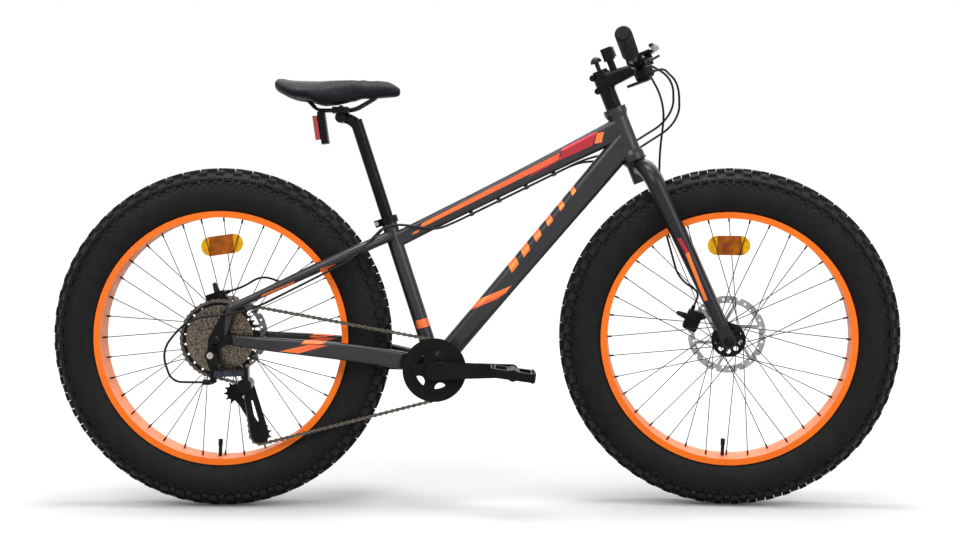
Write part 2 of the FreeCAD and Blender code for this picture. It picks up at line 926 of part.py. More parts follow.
def seatstay():
    """Right seatstay, flaring from the seat tube past the tyre to the dropout's arm."""
    root = seat_top - seat_dir * seatstay_root_down + V(-seatstay_root_back, -seatstay_root_out, 0)
    slope = math.tan(math.radians(seatstay_drop_slope_deg))
    knee = root + V(-seatstay_knee_back, seatstay_root_out - seatstay_knee_out, -seatstay_knee_back * slope)
    bend = root + V(-seatstay_bend_back, seatstay_root_out - seatstay_bend_out, -seatstay_bend_back * slope)
    end = rear_axle_at + V(seatstay_end_ahead, -dropout_in - dropout_thick / 2, seatstay_end_up)
    middle = blend(bend, end, 1 / 2)
    radii = [seatstay_root_r, seatstay_root_r, seatstay_root_r]
    radii += [(seatstay_root_r + seatstay_end_r) / 2, seatstay_end_r]
    return round_loft([root, knee, bend, middle, end], radii, left), knee


def seatstays():
    """Both seatstays with the bridge between them."""
    stay, knee = seatstay()
    stay = stay.cut(rod(seat_tube_r, bb_at, seat_top))
    stay = max(stay.Solids, key=lambda s: s.Volume)
    stay = stay.cut(dropout())
    stay = max(stay.Solids, key=lambda s: s.Volume)
    bridge = rod(bridge_r, knee, V(knee.x, -knee.y, knee.z))
    bridge = bridge.cut(stay).cut(mirrored(stay))
    bridge = max(bridge.Solids, key=lambda s: s.Volume)
    return group(both_sides(stay) + [bridge])


# Seatpost and saddle


def seatpost():
    """Hollow post with a set-back head, and the rail clamp with its bolt."""
    foot = seat_top - seat_dir * post_insert
    post = hollow_rod(post_r, post_r - post_wall, foot, post_top)
    plug = rod(post_r - post_wall, post_top - seat_dir * clamp_r, post_top)
    clamp_at = post_top + V(-head_arm_back, 0, head_arm_up)
    arm = round_loft([post_top - seat_dir * clamp_r, blend(post_top, clamp_at, 1 / 2), clamp_at],
                     [post_r, clamp_r, clamp_r], left)
    barrel = rod(clamp_r, clamp_at - left * (clamp_len / 2), clamp_at + left * (clamp_len / 2))
    body = joined([post, plug, arm, barrel])
    cradle_at = rail_at - V(0, 0, clamp_plate_height / 2)
    lower = round_box(clamp_plate_len, rail_gauge + 4 * rail_r, clamp_plate_height, rail_r)
    lower = moved(lower, cradle_at)
    upper = moved(lower, V(0, 0, clamp_plate_height))
    rails = group([rod(rail_r, rail_at + V(-clamp_len, s * rail_gauge / 2, 0),
                       rail_at + V(clamp_len, s * rail_gauge / 2, 0)) for s in (-1, 1)])
    bolt_top = rail_at + V(0, 0, clamp_plate_height)
    hole = rod(bolt_r, bolt_top - V(0, 0, 3 * clamp_plate_height), bolt_top)
    lower = lower.cut(rails).cut(hole).cut(barrel)
    lower = lower.cut(arm)
    upper = upper.cut(rails).cut(hole)
    bolt = screw(bolt_top, V(0, 0, 1), 2 * clamp_plate_height)
    return group([body.cut(bolt), lower, upper, bolt])


def saddle_rails():
    """Two bent rails under the saddle."""
    half = rail_gauge / 2
    nose = rail_at + V(rail_nose_ahead, rail_nose_half, rail_nose_up)
    flat_front = rail_at + V(rail_flat_ahead, half, 0)
    flat_back = rail_at + V(-rail_flat_back, half, 0)
    tail = rail_at + V(-rail_tail_back, rail_tail_half, rail_tail_up)
    rail = cord([nose, flat_front, flat_back, tail], rail_r, "saddle rail", rail_bend_share)
    return group(both_sides(rail))


def saddle_section(x, half, top, drop, thick):
    """One cross-section of the saddle: a crowned top, full sides and a drawn-in underside."""
    crown = V(x, 0, top)
    tuck = half * saddle_tuck_share
    side_right = V(x, -half, top - drop)
    side_left = V(x, half, top - drop)
    low_right = V(x, -tuck, top - drop - thick * saddle_lip_share)
    low_left = V(x, tuck, top - drop - thick * saddle_lip_share)
    belly = V(x, 0, top - thick)
    shoulder_r = V(x, -half * saddle_crown_share, top - drop * saddle_shoulder_share)
    shoulder_l = V(x, half * saddle_crown_share, top - drop * saddle_shoulder_share)
    curve = Part.BSplineCurve()
    curve.interpolate([crown, shoulder_l, side_left, low_left, belly, low_right, side_right,
            shoulder_r], True)
    return Part.Wire([curve.toShape()])


def saddle():
    """Padded saddle: narrow nose, broad wings at the back and a shallow channel along its top."""
    nose_x = rail_at.x + saddle_nose_ahead
    top = rail_at.z + saddle_top_up
    sections = []
    for along, width, lift, drop, deep in saddle_shares:
        half = saddle_width * width / 2
        z = top + saddle_tail_rise * lift
        sections.append(saddle_section(nose_x - saddle_len * along, half, z, saddle_wing_drop * drop,
                saddle_thick * deep))
    body = Part.makeLoft(sections, True)
    groove_axis = top + channel_r - channel_depth
    groove = rod(channel_r, V(nose_x - saddle_len, 0, groove_axis),
            V(nose_x - saddle_len * channel_shares[0], 0, groove_axis))
    body = body.cut(groove.common(channel_band(nose_x, groove_axis)))
    rails = saddle_rails()
    return max(body.cut(rails).Solids, key=lambda s: s.Volume)


def channel_band(nose_x, z):
    """Limits of the saddle's channel along its length and width."""
    start = saddle_len * channel_shares[0]
    end = saddle_len * channel_shares[1]
    half = (end - start) / 2
    middle = V(nose_x - (start + end) / 2, 0, z - 2 * channel_r)
    band = Part.makeCylinder(half, 4 * channel_r, middle)
    flat = FreeCAD.Matrix()
    flat.move(-middle)
    flat.scale(1, channel_width / (2 * half), 1)
    flat.move(middle)
    return band.transformGeometry(flat)


def tail_light():
    """Tail light hung from the rails: a clip, a body and its lens at the back."""
    at = rail_at + V(-light_back, 0, -rail_r)
    clip = round_box(light_depth, rail_gauge, rail_r * 2, rail_r)
    clip = moved(clip, at - V(0, 0, rail_r))
    body = round_box(light_depth, light_width, light_height, rail_r)
    body = moved(body, V(0, 0, -light_height / 2))
    lens = round_box(lens_depth, light_width - 2 * rail_r, lens_height, rail_r)
    lens = moved(lens, V(-light_depth / 2 - lens_depth / 2, 0, rail_r - light_height / 2))
    tilt = FreeCAD.Placement(at - V(0, 0, rail_r), FreeCAD.Rotation(V(0, 1, 0), -light_tilt_deg))
    body = placed(body, tilt)
    lens = placed(lens, tilt)
    room = saddle_rails()
    return group([joined([clip, body]).cut(room), lens.cut(clip)])


# Fork, stem and handlebar, in steering-axis coordinates: x forward, z up along the axis


def crown_top():
    """Height of the crown's top face along the steering axis."""
    return head_low - clear - race_thick


def crown():
    """Crown lug under the head tube."""
    top = crown_top()
    low = top - crown_len
    corners = [V(0, 0, low), V(crown_r, 0, low), V(crown_r, 0, top - head_blend_len), V(head_flare_r, 0,
            top), V(0, 0, top)]
    wire = Part.makePolygon(corners + corners[:1])
    return Part.Face(wire).revolve(V(), V(0, 0, 1), full_turn)


def fork_steerer():
    """Steerer tube with its crown lug, and the bearing race on top of the lug."""
    top = V(0, 0, crown_top())
    end = V(0, 0, stem_up + stem_height / 2 - clear)
    tube = rod(steerer_r, top - V(0, 0, race_thick), end)
    body = joined([crown(), tube])
    body = body.cut(rod(steerer_bore_r, top, end + V(0, 0, overrun)))
    race = hollow_rod(race_r, steerer_r, top, top + V(0, 0, race_thick))
    return group([body, race])


def blade():
    """Left fork blade: bent out from the crown, then straight and tapering down to its dropout."""
    start = V(blade_root_ahead, blade_root_out, crown_top() - blade_root_down)
    corner = V(blade_top_ahead, blade_gap, crown_top() - blade_root_down)
    end = front_axle_local + V(blade_end_ahead - fork_rake, blade_gap, blade_end_up)
    leg = (end - corner).normalize()
    elbow_end = corner + leg * start.distanceToPoint(corner)
    elbow = cord([start, corner, elbow_end], blade_r, "fork blade", blade_bend_share)
    taper = Part.makeCone(blade_r, blade_end_r, elbow_end.distanceToPoint(end), elbow_end, leg)
    axle = front_axle_local + V(0, fork_drop_in, 0)
    tab = V(end.x, fork_drop_in, end.z)
    plate = taper_bar(axle, fork_drop_r, tab, blade_end_r, fork_drop_thick)
    body = joined([elbow, taper, plate])
    body = body.cut(rod(axle_r, axle - left * overrun, axle + left * (2 * blade_gap)))
    body = body.cut(rod(nut_r + clear, axle + left * fork_drop_thick, axle + left * (2 * blade_gap)))
    return max(body.cut(crown()).Solids, key=lambda s: s.Volume)


def fork_blades():
    """Both fork blades with their dropouts."""
    return group(both_sides(blade()))


def front_axle():
    """Front axle with a nut at each end."""
    end = fork_drop_in + fork_drop_thick
    bar = rod(axle_r, V(0, -end, 0), V(0, end, 0))
    nut = spun([(end, 0), (end, nut_r), (end + nut_len / 2, nut_r), (end + nut_len, axle_r),
            (end + nut_len, 0)])
    return moved(joined([bar] + both_sides(nut)), front_axle_local)


def rear_axle():
    """Rear axle with a nut at each end."""
    end = dropout_in + dropout_thick
    bar = rod(axle_r, V(0, -end, 0), V(0, end, 0))
    nut = spun([(end, 0), (end, nut_r), (end + nut_len / 2, nut_r), (end + nut_len, axle_r),
            (end + nut_len, 0)])
    return moved(joined([bar] + both_sides(nut)), rear_axle_at)


def headset_spacers():
    """Rings between the head tube and the stem, and the cap on top with its bolt."""
    z = head_low + head_len + clear
    shapes = []
    stack = stem_up - stem_height / 2 - z
    for share in spacer_shares:
        shapes.append(hollow_rod(spacer_r, steerer_r, V(0, 0, z), V(0, 0, z + stack * share)))
        z += stack * share
    top = V(0, 0, stem_up + stem_height / 2)
    lid = rod(cap_r, top, top + V(0, 0, cap_thick))
    lid = lid.cut(rod(bolt_r, top - V(0, 0, overrun), top + V(0, 0, 2 * cap_thick)))
    bolt = screw(top + V(0, 0, cap_thick), V(0, 0, 1), 3 * cap_thick)
    return group(shapes + [lid, bolt])


def bar_points():
    """Corner points of the left half of the handlebar."""
    middle = V(stem_len, 0, stem_up)
    flat = middle + V(0, bar_flat_half, 0)
    rise = middle + V(-bar_rise_back, bar_rise_out, bar_rise_up)
    end = middle + V(-bar_end_back, bar_end_out, bar_end_up)
    return middle, flat, rise, end


def bar_frame(start, end, out):
    """A placement on a straight run of the bar: local y along it, x forward, z up."""
    along = (end - start).normalize()
    at = start + along * ((out - start.y) / along.y)
    forward = ahead - along * along.dot(ahead)
    return axes(at, forward, along)


def handlebar():
    """Riser bar: a hollow bent tube with a thicker middle."""
    points = list(bar_points())
    halves = []
    for r in (bar_r, bar_r - bar_wall):
        half = cord(points, r, "bar", bar_bend_share)
        halves.append(joined(both_sides(half)))
    bulge = moved(ring(-bar_bulge_half, bar_bulge_half, bar_bulge_r, bar_r - bar_wall), points[0])
    return joined([halves[0], bulge]).cut(halves[1])


def stem():
    """Stem body, its faceplate and its bolts."""
    middle = V(0, 0, stem_up)
    bar_at = V(stem_len, 0, stem_up)
    up = V(0, 0, 1)
    post = rod(stem_r, middle - up * (stem_height / 2), middle + up * (stem_height / 2))
    clamp = moved(rod(bar_clamp_r, V(0, -bar_clamp_half, 0), V(0, bar_clamp_half, 0)), bar_at)
    root = tube_section(axes(middle, ahead, left), 2 * stem_r - bar_wall, stem_height - bar_wall)
    tip = tube_section(axes(bar_at, ahead, left), 2 * bar_clamp_half - bar_wall, bar_clamp_r)
    arm = Part.makeLoft([root, tip], True)
    bosses = []
    for side in (-1, 1):
        at = V(-pinch_back, -pinch_boss_half, stem_up + side * pinch_gap / 2)
        bosses.append(rod(pinch_boss_r, at, at + left * (2 * pinch_boss_half)))
    body = joined([post, clamp, arm] + bosses)
    body = body.cut(rod(steerer_r, middle - up * stem_height, middle + up * stem_height))
    body = body.cut(rod(spacer_r + clear, middle - up * stem_height, middle - up * (stem_height / 2)))
    body = body.cut(rod(cap_r + clear, middle + up * (stem_height / 2), middle + up * stem_height))
    body = body.cut(rod(bar_bulge_r, bar_at - left * (2 * bar_clamp_half),
            bar_at + left * (2 * bar_clamp_half)))
    reach = pinch_back + pinch_boss_r + overrun
    slot = Part.makeBox(reach, split_gap, 2 * stem_height, V(-reach, -split_gap / 2, stem_up - stem_height))
    body = body.cut(slot)
    span = 3 * bar_clamp_r
    split = Part.makeBox(split_gap, span, span, bar_at + V(-split_gap / 2, -span / 2, -span / 2))
    front = Part.makeBox(span, span, span, bar_at + V(split_gap / 2, -span / 2, -span / 2))
    plate = body.common(front)
    body = body.cut(front).cut(split)
    bolts = []
    for side in (-1, 1):
        seat = V(-pinch_back, -side * pinch_boss_half, stem_up + side * pinch_gap / 2)
        bolts.append(screw(seat, V(0, -side, 0), 2 * pinch_boss_half - bolt_r))
    for y in (-1, 1):
        for z in (-1, 1):
            rim = (bar_bulge_r + bar_clamp_r) / 2
            seat = bar_at + V(bar_clamp_r * face_seat_share, y * bar_clamp_half * face_bolt_share, z * rim)
            bolts.append(screw(seat, ahead, bar_clamp_r))
    for bolt in bolts:
        body = body.cut(bolt)
        plate = plate.cut(bolt)
    plate = max(plate.Solids, key=lambda s: s.Volume)
    return group([body, plate] + bolts)


def grip():
    """Left grip: a ringed sleeve with a closed domed end."""
    middle, flat, rise, end = bar_points()
    frame = bar_frame(rise, end, bar_end_out)
    outline = [(-grip_len, bar_r), (-grip_len, grip_r)]
    step = grip_len / (grip_rings + 1)
    for i in range(1, grip_rings + 1):
        y = i * step - grip_len
        outline += [(y - grip_groove, grip_r), (y, grip_r - grip_groove), (y + grip_groove, grip_r)]
    outline += [(grip_dome * dome_start_share, grip_r), (grip_dome, grip_r - grip_dome / 2), (grip_dome,
            0), (0, 0), (0, bar_r)]
    return placed(spun(outline), frame)


def perch_frame():
    """Placement of the left brake perch on the bar."""
    middle, flat, rise, end = bar_points()
    return bar_frame(flat, rise, perch_in)


def perch():
    """Left brake perch: a bar clamp with a forked nose for the lever, and the barrel adjuster."""
    clamp = ring(-perch_len / 2, perch_len / 2, perch_r, bar_r)
    nose_len = perch_ahead + perch_body_r
    nose = moved(round_box(nose_len, perch_len, 2 * perch_body_r, perch_gap / 2), V(nose_len / 2, 0, 0))
    nose = nose.cut(rod(bar_r, V(0, -perch_len, 0), V(0, perch_len, 0)))
    body = joined([clamp, nose])
    slot_start = perch_r + lever_pivot_r
    slot = Part.makeBox(nose_len, 2 * perch_len, perch_gap, V(slot_start, -perch_len, -perch_gap / 2))
    pivot = rod(lever_pivot_r, V(perch_ahead, 0, -perch_body_r), V(perch_ahead, 0, perch_body_r))
    adjuster_at = V(slot_start - adjuster_r, -perch_len / 2, 0)
    adjuster = rod(adjuster_r, adjuster_at, adjuster_at - left * adjuster_len)
    body = body.cut(slot).cut(pivot)
    body = max(body.Solids, key=lambda s: s.Volume)
    return [placed(shape, perch_frame()) for shape in (body, pivot, adjuster)]


def perch_cable_end():
    """Where the brake cable leaves the left perch's adjuster, and the direction it leaves in."""
    slot_start = perch_r + lever_pivot_r
    frame = perch_frame()
    end = frame.multVec(V(slot_start - adjuster_r, -perch_len / 2 - adjuster_len, 0))
    return end, frame.Rotation.multVec(-left)


def flat_bar(c1, r1, c2, r2, thick):
    """A tapered bar in the x-y plane, centred on that plane, thick along z."""
    bar = taper_bar(V(c1.x, -thick / 2, -c1.y), r1, V(c2.x, -thick / 2, -c2.y), r2, thick)
    return turned(bar, V(1, 0, 0), quarter_turn)


def brake_lever():
    """Left brake lever blade, bent forward from its pivot and then along the grip."""
    pivot = V(perch_ahead, 0, 0)
    knee = V(lever_reach, lever_knee, 0)
    tip = V(lever_reach - lever_tip_r, lever_len, 0)
    blade_body = joined([flat_bar(pivot, lever_root_r, knee, lever_knee_r, lever_thick),
                         flat_bar(knee, lever_knee_r, tip, lever_tip_r, lever_thick)])
    hole = rod(lever_pivot_r + fit, pivot - V(0, 0, lever_thick), pivot + V(0, 0, lever_thick))
    return placed(blade_body.cut(hole), perch_frame())


def pod_frame():
    """Placement of the shifter on the bar, drawn on the left and mirrored to the right."""
    middle, flat, rise, end = bar_points()
    return bar_frame(flat, rise, pod_in)


def shifter():
    """Gear shifter: a bar clamp and a round pod hanging below the bar, with its cable outlet."""
    clamp = ring(-pod_clamp_len / 2, pod_clamp_len / 2, perch_r, bar_r)
    at = V(pod_ahead, 0, -pod_down)
    up = V(0, 0, 1)
    drum = rod(pod_r, at - up * (pod_thick / 2), at + up * (pod_thick / 2))
    drum = drum.makeFillet(pod_thick * pod_round_share, drum.Edges[:1] + drum.Edges[2:])
    neck = Part.makeBox(2 * perch_r * pod_neck_share, pod_clamp_len, pod_down, V(0, -pod_clamp_len / 2,
            -pod_down))
    neck = neck.cut(rod(bar_r, V(0, -pod_clamp_len, 0), V(0, pod_clamp_len, 0)))
    outlet = rod(adjuster_r, at, at + V(pod_r * outlet_share, -pod_r * outlet_share, 0))
    stud = rod(lever_pivot_r, at - up * (pod_thick / 2 + shift_thick + 2 * clear), at)
    body = joined([clamp, neck, drum, outlet, stud])
    body = body.cut(rod(bar_r, V(0, -pod_r, 0), V(0, pod_r, 0)))
    return placed(max(body.Solids, key=lambda s: s.Volume), pod_frame())


def pod_cable_end():
    """Where the gear cable leaves the shifter, and its direction."""
    frame = pod_frame()
    at = V(pod_ahead, 0, -pod_down)
    step = V(outlet_share, -outlet_share, 0)
    return frame.multVec(at + step * pod_r), frame.Rotation.multVec(step).normalize()


def shift_lever():
    """Thumb lever under the shifter pod."""
    drop = -pod_down - pod_thick / 2 - shift_thick / 2 - clear
    pivot = V(pod_ahead, 0, 0)
    tip = V(pod_ahead - shift_arm, shift_pad_r, 0)
    arm = flat_bar(pivot, shift_pad_r, tip, shift_arm_r, shift_thick)
    arm = arm.cut(rod(lever_pivot_r + fit, pivot - V(0, 0, shift_thick), pivot + V(0, 0, shift_thick)))
    return placed(moved(arm, V(0, 0, drop)), pod_frame())


def front_light():
    """Small lamp on a foot on the stem, with its lens in front."""
    at = V(lamp_ahead, 0, stem_up + lamp_up)
    box = round_box(lamp_len, lamp_width, lamp_height, lamp_lens)
    lens = round_box(lamp_lens, lamp_width - lamp_lens, lamp_height - lamp_lens, lamp_lens / 4)
    lens = moved(lens, V(lamp_len / 2 + lamp_lens / 2, 0, 0))
    foot = rod(lamp_foot_r, V(lamp_ahead, 0, stem_up), at)
    body = joined([moved(box, at), foot])
    body = body.cut(stem())
    return [max(body.Solids, key=lambda s: s.Volume), moved(lens, at)]


def bell():
    """Domed bell standing on the stem cap's bolt."""
    base = V(0, 0, stem_up + stem_height / 2 + cap_thick + bolt_head_len)
    centre = base + V(0, 0, bell_up)
    dome = Part.makeSphere(bell_r, centre, V(0, 0, 1), 0, quarter_turn, full_turn)
    dome = dome.cut(Part.makeSphere(bell_r - bell_wall, centre, V(0, 0, 1), 0, quarter_turn, full_turn))
    post = rod(bell_base_r, base, centre + V(0, 0, bell_r - bell_wall / 2))
    return joined([dome, post])


# Brake calipers, made about the axle with the disc's edge on the x axis


def caliper_at():
    """Radius of the caliper's centre from the axle."""
    return rotor_r - caliper_in


def caliper_slot():
    """Width of the slot that holds the disc and both pads."""
    return rotor_thick + 2 * pad_gap + 2 * pad_thick


def caliper(out, turn_deg):
    """Caliper body with its cable stop, and two pads beside the disc."""
    centre = V(caliper_at(), out, 0)
    body = turned(round_box(caliper_deep, caliper_len, 2 * caliper_half, caliper_round), V(1, 0, 0),
            quarter_turn)
    body = moved(body, centre)
    drum_end = centre + left * (caliper_half + barrel_len)
    drum = rod(barrel_r, centre, drum_end)
    pin = rod(lever_pivot_r, centre, drum_end + left * (arm_thick + 2 * clear))
    stop_at = stop_point(out)
    stop = rod(adjuster_r, stop_at, stop_at + V(0, 0, caliper_len / 2))
    body = joined([body, drum, pin, stop])
    slot = ring(out - caliper_slot() / 2, out + caliper_slot() / 2, rotor_r + clear, rotor_bore_r)
    body = body.cut(slot)
    shapes = [body]
    for side in (-1, 1):
        near = out + side * (rotor_thick / 2 + pad_gap)
        low = min(near, near + side * pad_thick)
        pad = Part.makeBox(pad_deep, pad_thick, pad_len, V(rotor_r - rotor_band - pad_gap, low,
                -pad_len / 2))
        shapes.append(pad.common(ring(low, low + pad_thick, rotor_r, rotor_bore_r)))
    return [turned(shape, V(0, 1, 0), -turn_deg) for shape in shapes]


def stop_point(out):
    """End of the caliper's cable stop."""
    return V(rotor_r + pad_deep / 4, out + caliper_half / 2, -caliper_len / 2 - adjuster_len / 2)


def stop_end(out, turn_deg):
    """End of the cable stop and the direction of the cable there, about the axle."""
    spin = FreeCAD.Rotation(V(0, 1, 0), -turn_deg)
    return spin.multVec(stop_point(out)), spin.multVec(down)


def caliper_arm(out, turn_deg):
    """Actuating arm on the caliper's drum."""
    y = out + caliper_half + barrel_len + clear
    pivot = V(caliper_at(), y, 0)
    tip = pivot + V(arm_len, 0, 0)
    arm = taper_bar(pivot, arm_root_r, tip, arm_tip_r, arm_thick)
    arm = arm.cut(rod(lever_pivot_r + fit, pivot - left * overrun, pivot + left * (arm_thick + overrun)))
    return turned(arm, V(0, 1, 0), -turn_deg)


def rear_caliper():
    """Rear caliper on an adaptor plate against the left dropout."""
    shapes = caliper(rear_rotor_out, rear_caliper_deg)
    spin = FreeCAD.Rotation(V(0, 1, 0), -rear_caliper_deg)
    start = spin.multVec(V(caliper_at(), 0, 0)) + V(0, dropout_in - adaptor_thick, 0)
    end = V(seatstay_end_ahead, 0, seatstay_end_up) * adaptor_foot_share + V(0,
            dropout_in - adaptor_thick, 0)
    plate = taper_bar(start, arm_root_r, end, arm_root_r, adaptor_thick).cut(shapes[0])
    shapes.append(max(plate.Solids, key=lambda s: s.Volume))
    return group([moved(shape, rear_axle_at) for shape in shapes])


def front_caliper():
    """Front caliper on an adaptor plate against the left blade."""
    shapes = [moved(shape, front_axle_local) for shape in caliper(front_rotor_out, front_caliper_deg)]
    spin = FreeCAD.Rotation(V(0, 1, 0), -front_caliper_deg)
    start = spin.multVec(V(caliper_at(), 0, 0)) + front_axle_local
    limb = blade()
    start.y = front_rotor_out + caliper_half - adaptor_thick
    end = V(blade_end_ahead, start.y, start.z)
    plate = taper_bar(start, arm_root_r, end, arm_root_r, adaptor_thick).cut(shapes[0]).cut(limb)
    near = [s for s in plate.Solids if s.CenterOfMass.x < end.x]
    shapes.append(max(near, key=lambda s: s.Volume))
    return group(shapes)


# Drivetrain


def pitch_r(teeth):
    """Radius of the circle that the chain's pins follow on a sprocket."""
    return chain_pitch / (2 * math.sin(math.pi / teeth))


def sprocket(teeth, y, thick, bore_r, phase):
    """Toothed disc about y with round roller gaps, one gap at the phase angle."""
    pitch = pitch_r(teeth)
    gap_r = roller_r + tooth_fit
    spread = math.radians(gap_spread_deg)
    tip_r = pitch + tooth_rise
    tip_half = tooth_tip / 2 / tip_r
    centre = V(0, y - thick / 2, 0)
    edges = []
    corners = []
    for i in range(teeth):
        at = phase + 2 * math.pi * i / teeth
        gap = on_circle(centre, pitch, at)
        start = on_circle(gap, gap_r, at + math.pi + spread)
        bottom = on_circle(gap, gap_r, at + math.pi)
        end = on_circle(gap, gap_r, at + math.pi - spread)
        tooth = at + math.pi / teeth
        corners.append((start, bottom, end, on_circle(centre, tip_r, tooth - tip_half),
                on_circle(centre, tip_r, tooth + tip_half)))
    for i, (start, bottom, end, tip1, tip2) in enumerate(corners):
        following = corners[(i + 1) % teeth][0]
        edges.append(Part.Arc(start, bottom, end).toShape())
        edges += [Part.makeLine(end, tip1), Part.makeLine(tip1, tip2), Part.makeLine(tip2, following)]
    body = Part.Face(Part.Wire(edges)).extrude(V(0, thick, 0))
    return body.cut(rod(bore_r, centre - left * overrun, centre + left * (thick + overrun)))


def chain_circles(turn_deg):
    """Centres, teeth and winding sense of the four toothed wheels along the chain."""
    pivot = rear_axle_at + V(cage_pivot_ahead, 0, -cage_pivot_down)
    spin = FreeCAD.Rotation(V(0, 1, 0), -turn_deg)
    rest = math.radians(tension_rest_deg)
    guide = pivot + spin.multVec(V(-guide_back, 0, -guide_down))
    tension = pivot + spin.multVec(V(tension_len * math.cos(rest), 0, tension_len * math.sin(rest)))
    return [(bb_at, ring_teeth, 1), (rear_axle_at, cog_teeth[0], 1), (guide, pulley_teeth, -1),
            (tension, pulley_teeth, 1)]


def chain_pieces(turn_deg):
    """Arcs and straight runs of the chain, each with its length in pitches."""
    wheels = chain_circles(turn_deg)
    leave = []
    arrive = {}
    for i, (a, teeth_a, sense_a) in enumerate(wheels):
        j = (i + 1) % len(wheels)
        b, teeth_b, sense_b = wheels[j]
        step = b - a
        gap = math.hypot(step.x, step.z)
        heading = math.atan2(step.z, step.x)
        normal = heading - math.acos((sense_a * pitch_r(teeth_a) - sense_b * pitch_r(teeth_b)) / gap)
        leave.append(normal if sense_a > 0 else normal + math.pi)
        arrive[j] = normal if sense_b > 0 else normal + math.pi
    pieces = []
    for i, (centre, teeth, sense) in enumerate(wheels):
        j = (i + 1) % len(wheels)
        sweep = (sense * (leave[i] - arrive[i])) % (2 * math.pi)
        pieces.append(("arc", sweep * teeth / (2 * math.pi), centre, teeth, arrive[i], sense))
        start = on_circle(centre, pitch_r(teeth), leave[i])
        end = on_circle(wheels[j][0], pitch_r(wheels[j][1]), arrive[j])
        pieces.append(("run", start.distanceToPoint(end) / chain_pitch, start, end))
    return pieces


def chain_count(turn_deg):
    """Number of chain pitches for a turn of the cage."""
    return sum(piece[1] for piece in chain_pieces(turn_deg))


def cage_turn():
    """Turn of the cage that makes the chain a whole even number of links."""
    links = 2 * round(chain_count(0) / 2)
    low = -cage_search_deg
    high = cage_search_deg
    for step in range(60):
        middle = (low + high) / 2
        if (chain_count(middle) - links) * (chain_count(low) - links) <= 0:
            high = middle
        else:
            low = middle
    return (low + high) / 2, links


def chain_side(index, local, length):
    """Side offset of the chain on each arc and run, straight where it meets a toothed wheel."""
    ring_y = -ring_out
    cog_y = -cog_in
    share = min(max((local - held_links) / (length - 2 * held_links), 0), 1)
    if index == 0:
        return ring_y
    if index == 1:
        return ring_y + (cog_y - ring_y) * share
    if index == 7:
        return cog_y + (ring_y - cog_y) * share
    return cog_y


def chain_pins(turn_deg, links):
    """Positions of all pins, and the angle of one pin on each toothed wheel."""
    pieces = chain_pieces(turn_deg)
    pins = []
    phases = {}
    start = 0
    for index, piece in enumerate(pieces):
        number = math.ceil(start)
        while number < start + piece[1] and number < links:
            local = number - start
            if piece[0] == "arc":
                angle = piece[4] + piece[5] * local * 2 * math.pi / piece[3]
                point = on_circle(piece[2], pitch_r(piece[3]), angle)
                phases.setdefault(index // 2, angle)
            else:
                point = blend(piece[2], piece[3], local / piece[1])
            point.y = chain_side(index, local, piece[1])
            pins.append(point)
            number += 1
        start += piece[1]
    return pins, phases


def link_plate(y, thick, hole_r):
    """One waisted chain plate along x with two pin holes."""
    waist = plate_r * plate_waist_share
    cut = plate_r * math.sin(math.pi / 4)
    a = V(cut, y, cut)
    b = V(cut, y, -cut)
    c = V(chain_pitch - cut, y, -cut)
    d = V(chain_pitch - cut, y, cut)
    edges = [Part.Arc(a, V(-plate_r, y, 0), b).toShape()]
    edges.append(Part.Arc(b, V(chain_pitch / 2, y, -waist), c).toShape())
    edges.append(Part.Arc(c, V(chain_pitch + plate_r, y, 0), d).toShape())
    edges.append(Part.Arc(d, V(chain_pitch / 2, y, waist), a).toShape())
    plate = Part.Face(Part.Wire(edges)).extrude(V(0, thick, 0))
    for x in (0, chain_pitch):
        plate = plate.cut(rod(hole_r, V(x, y - overrun, 0), V(x, y + thick + overrun, 0)))
    return plate


def chain_links():
    """One inner link with its rollers and one outer link with its pins."""
    inner_out = roller_half + inner_plate
    outer_in = inner_out + plate_gap
    outer_out = outer_in + outer_plate
    inner = [link_plate(roller_half, inner_plate, pin_r + fit), link_plate(-inner_out, inner_plate,
            pin_r + fit)]
    outer = [link_plate(outer_in, outer_plate, pin_r), link_plate(-outer_out, outer_plate, pin_r)]
    for x in (0, chain_pitch):
        inner.append(moved(ring(-roller_half, roller_half, roller_r, pin_r + fit), V(x, 0, 0)))
        outer.append(rod(pin_r, V(x, -outer_out - plate_gap, 0), V(x, outer_out + plate_gap, 0)))
    return group(inner), group(outer)


def chain(pins):
    """Roller chain: inner and outer links in turn along the pins."""
    inner, outer = chain_links()
    shapes = []
    for i, pin in enumerate(pins):
        following = pins[(i + 1) % len(pins)]
        link = outer if i % 2 else inner
        shapes.append(placed(link, axes(pin, following - pin, left)))
    return group(shapes)


def cassette(phase):
    """Nine sprockets with spacers on the freehub body, held by a lock ring."""
    shapes = [ring(-freehub_end, -freehub_start - clear, freehub_r, axle_r + fit)]
    for i, teeth in enumerate(cog_teeth):
        y = -cog_in - i * cog_gap
        cog = sprocket(teeth, y, cog_thick, freehub_r, phase if i == 0 else 0)
        web = pitch_r(teeth) - roller_r - freehub_r
        cuts = []
        if web > 3 * roller_r:
            small_at = polar(pitch_r(teeth) - roller_r - cog_hole_r - cog_thick, y - overrun, 0)
            small = rod(cog_hole_r, small_at, small_at + left * (2 * overrun))
            cuts += around(small, teeth // 2)
        if web > 6 * roller_r:
            window_at = polar(freehub_r + web * cog_window_share, y - overrun, 0)
            window = rod(web * cog_window_share / 2, window_at, window_at + left * (2 * overrun))
            cuts += around(window, cog_windows)
        shapes.append(cog.cut(group(cuts)) if cuts else cog)
        if i:
            shapes.append(ring(y + cog_thick / 2, y + cog_gap - cog_thick / 2, freehub_r + cog_hole_r,
                    freehub_r))
    last = cog_in + (len(cog_teeth) - 1) * cog_gap + cog_thick / 2
    shapes.append(ring(-freehub_end, -last, freehub_r + cog_hole_r, freehub_r))
    return moved(group(shapes), rear_axle_at)


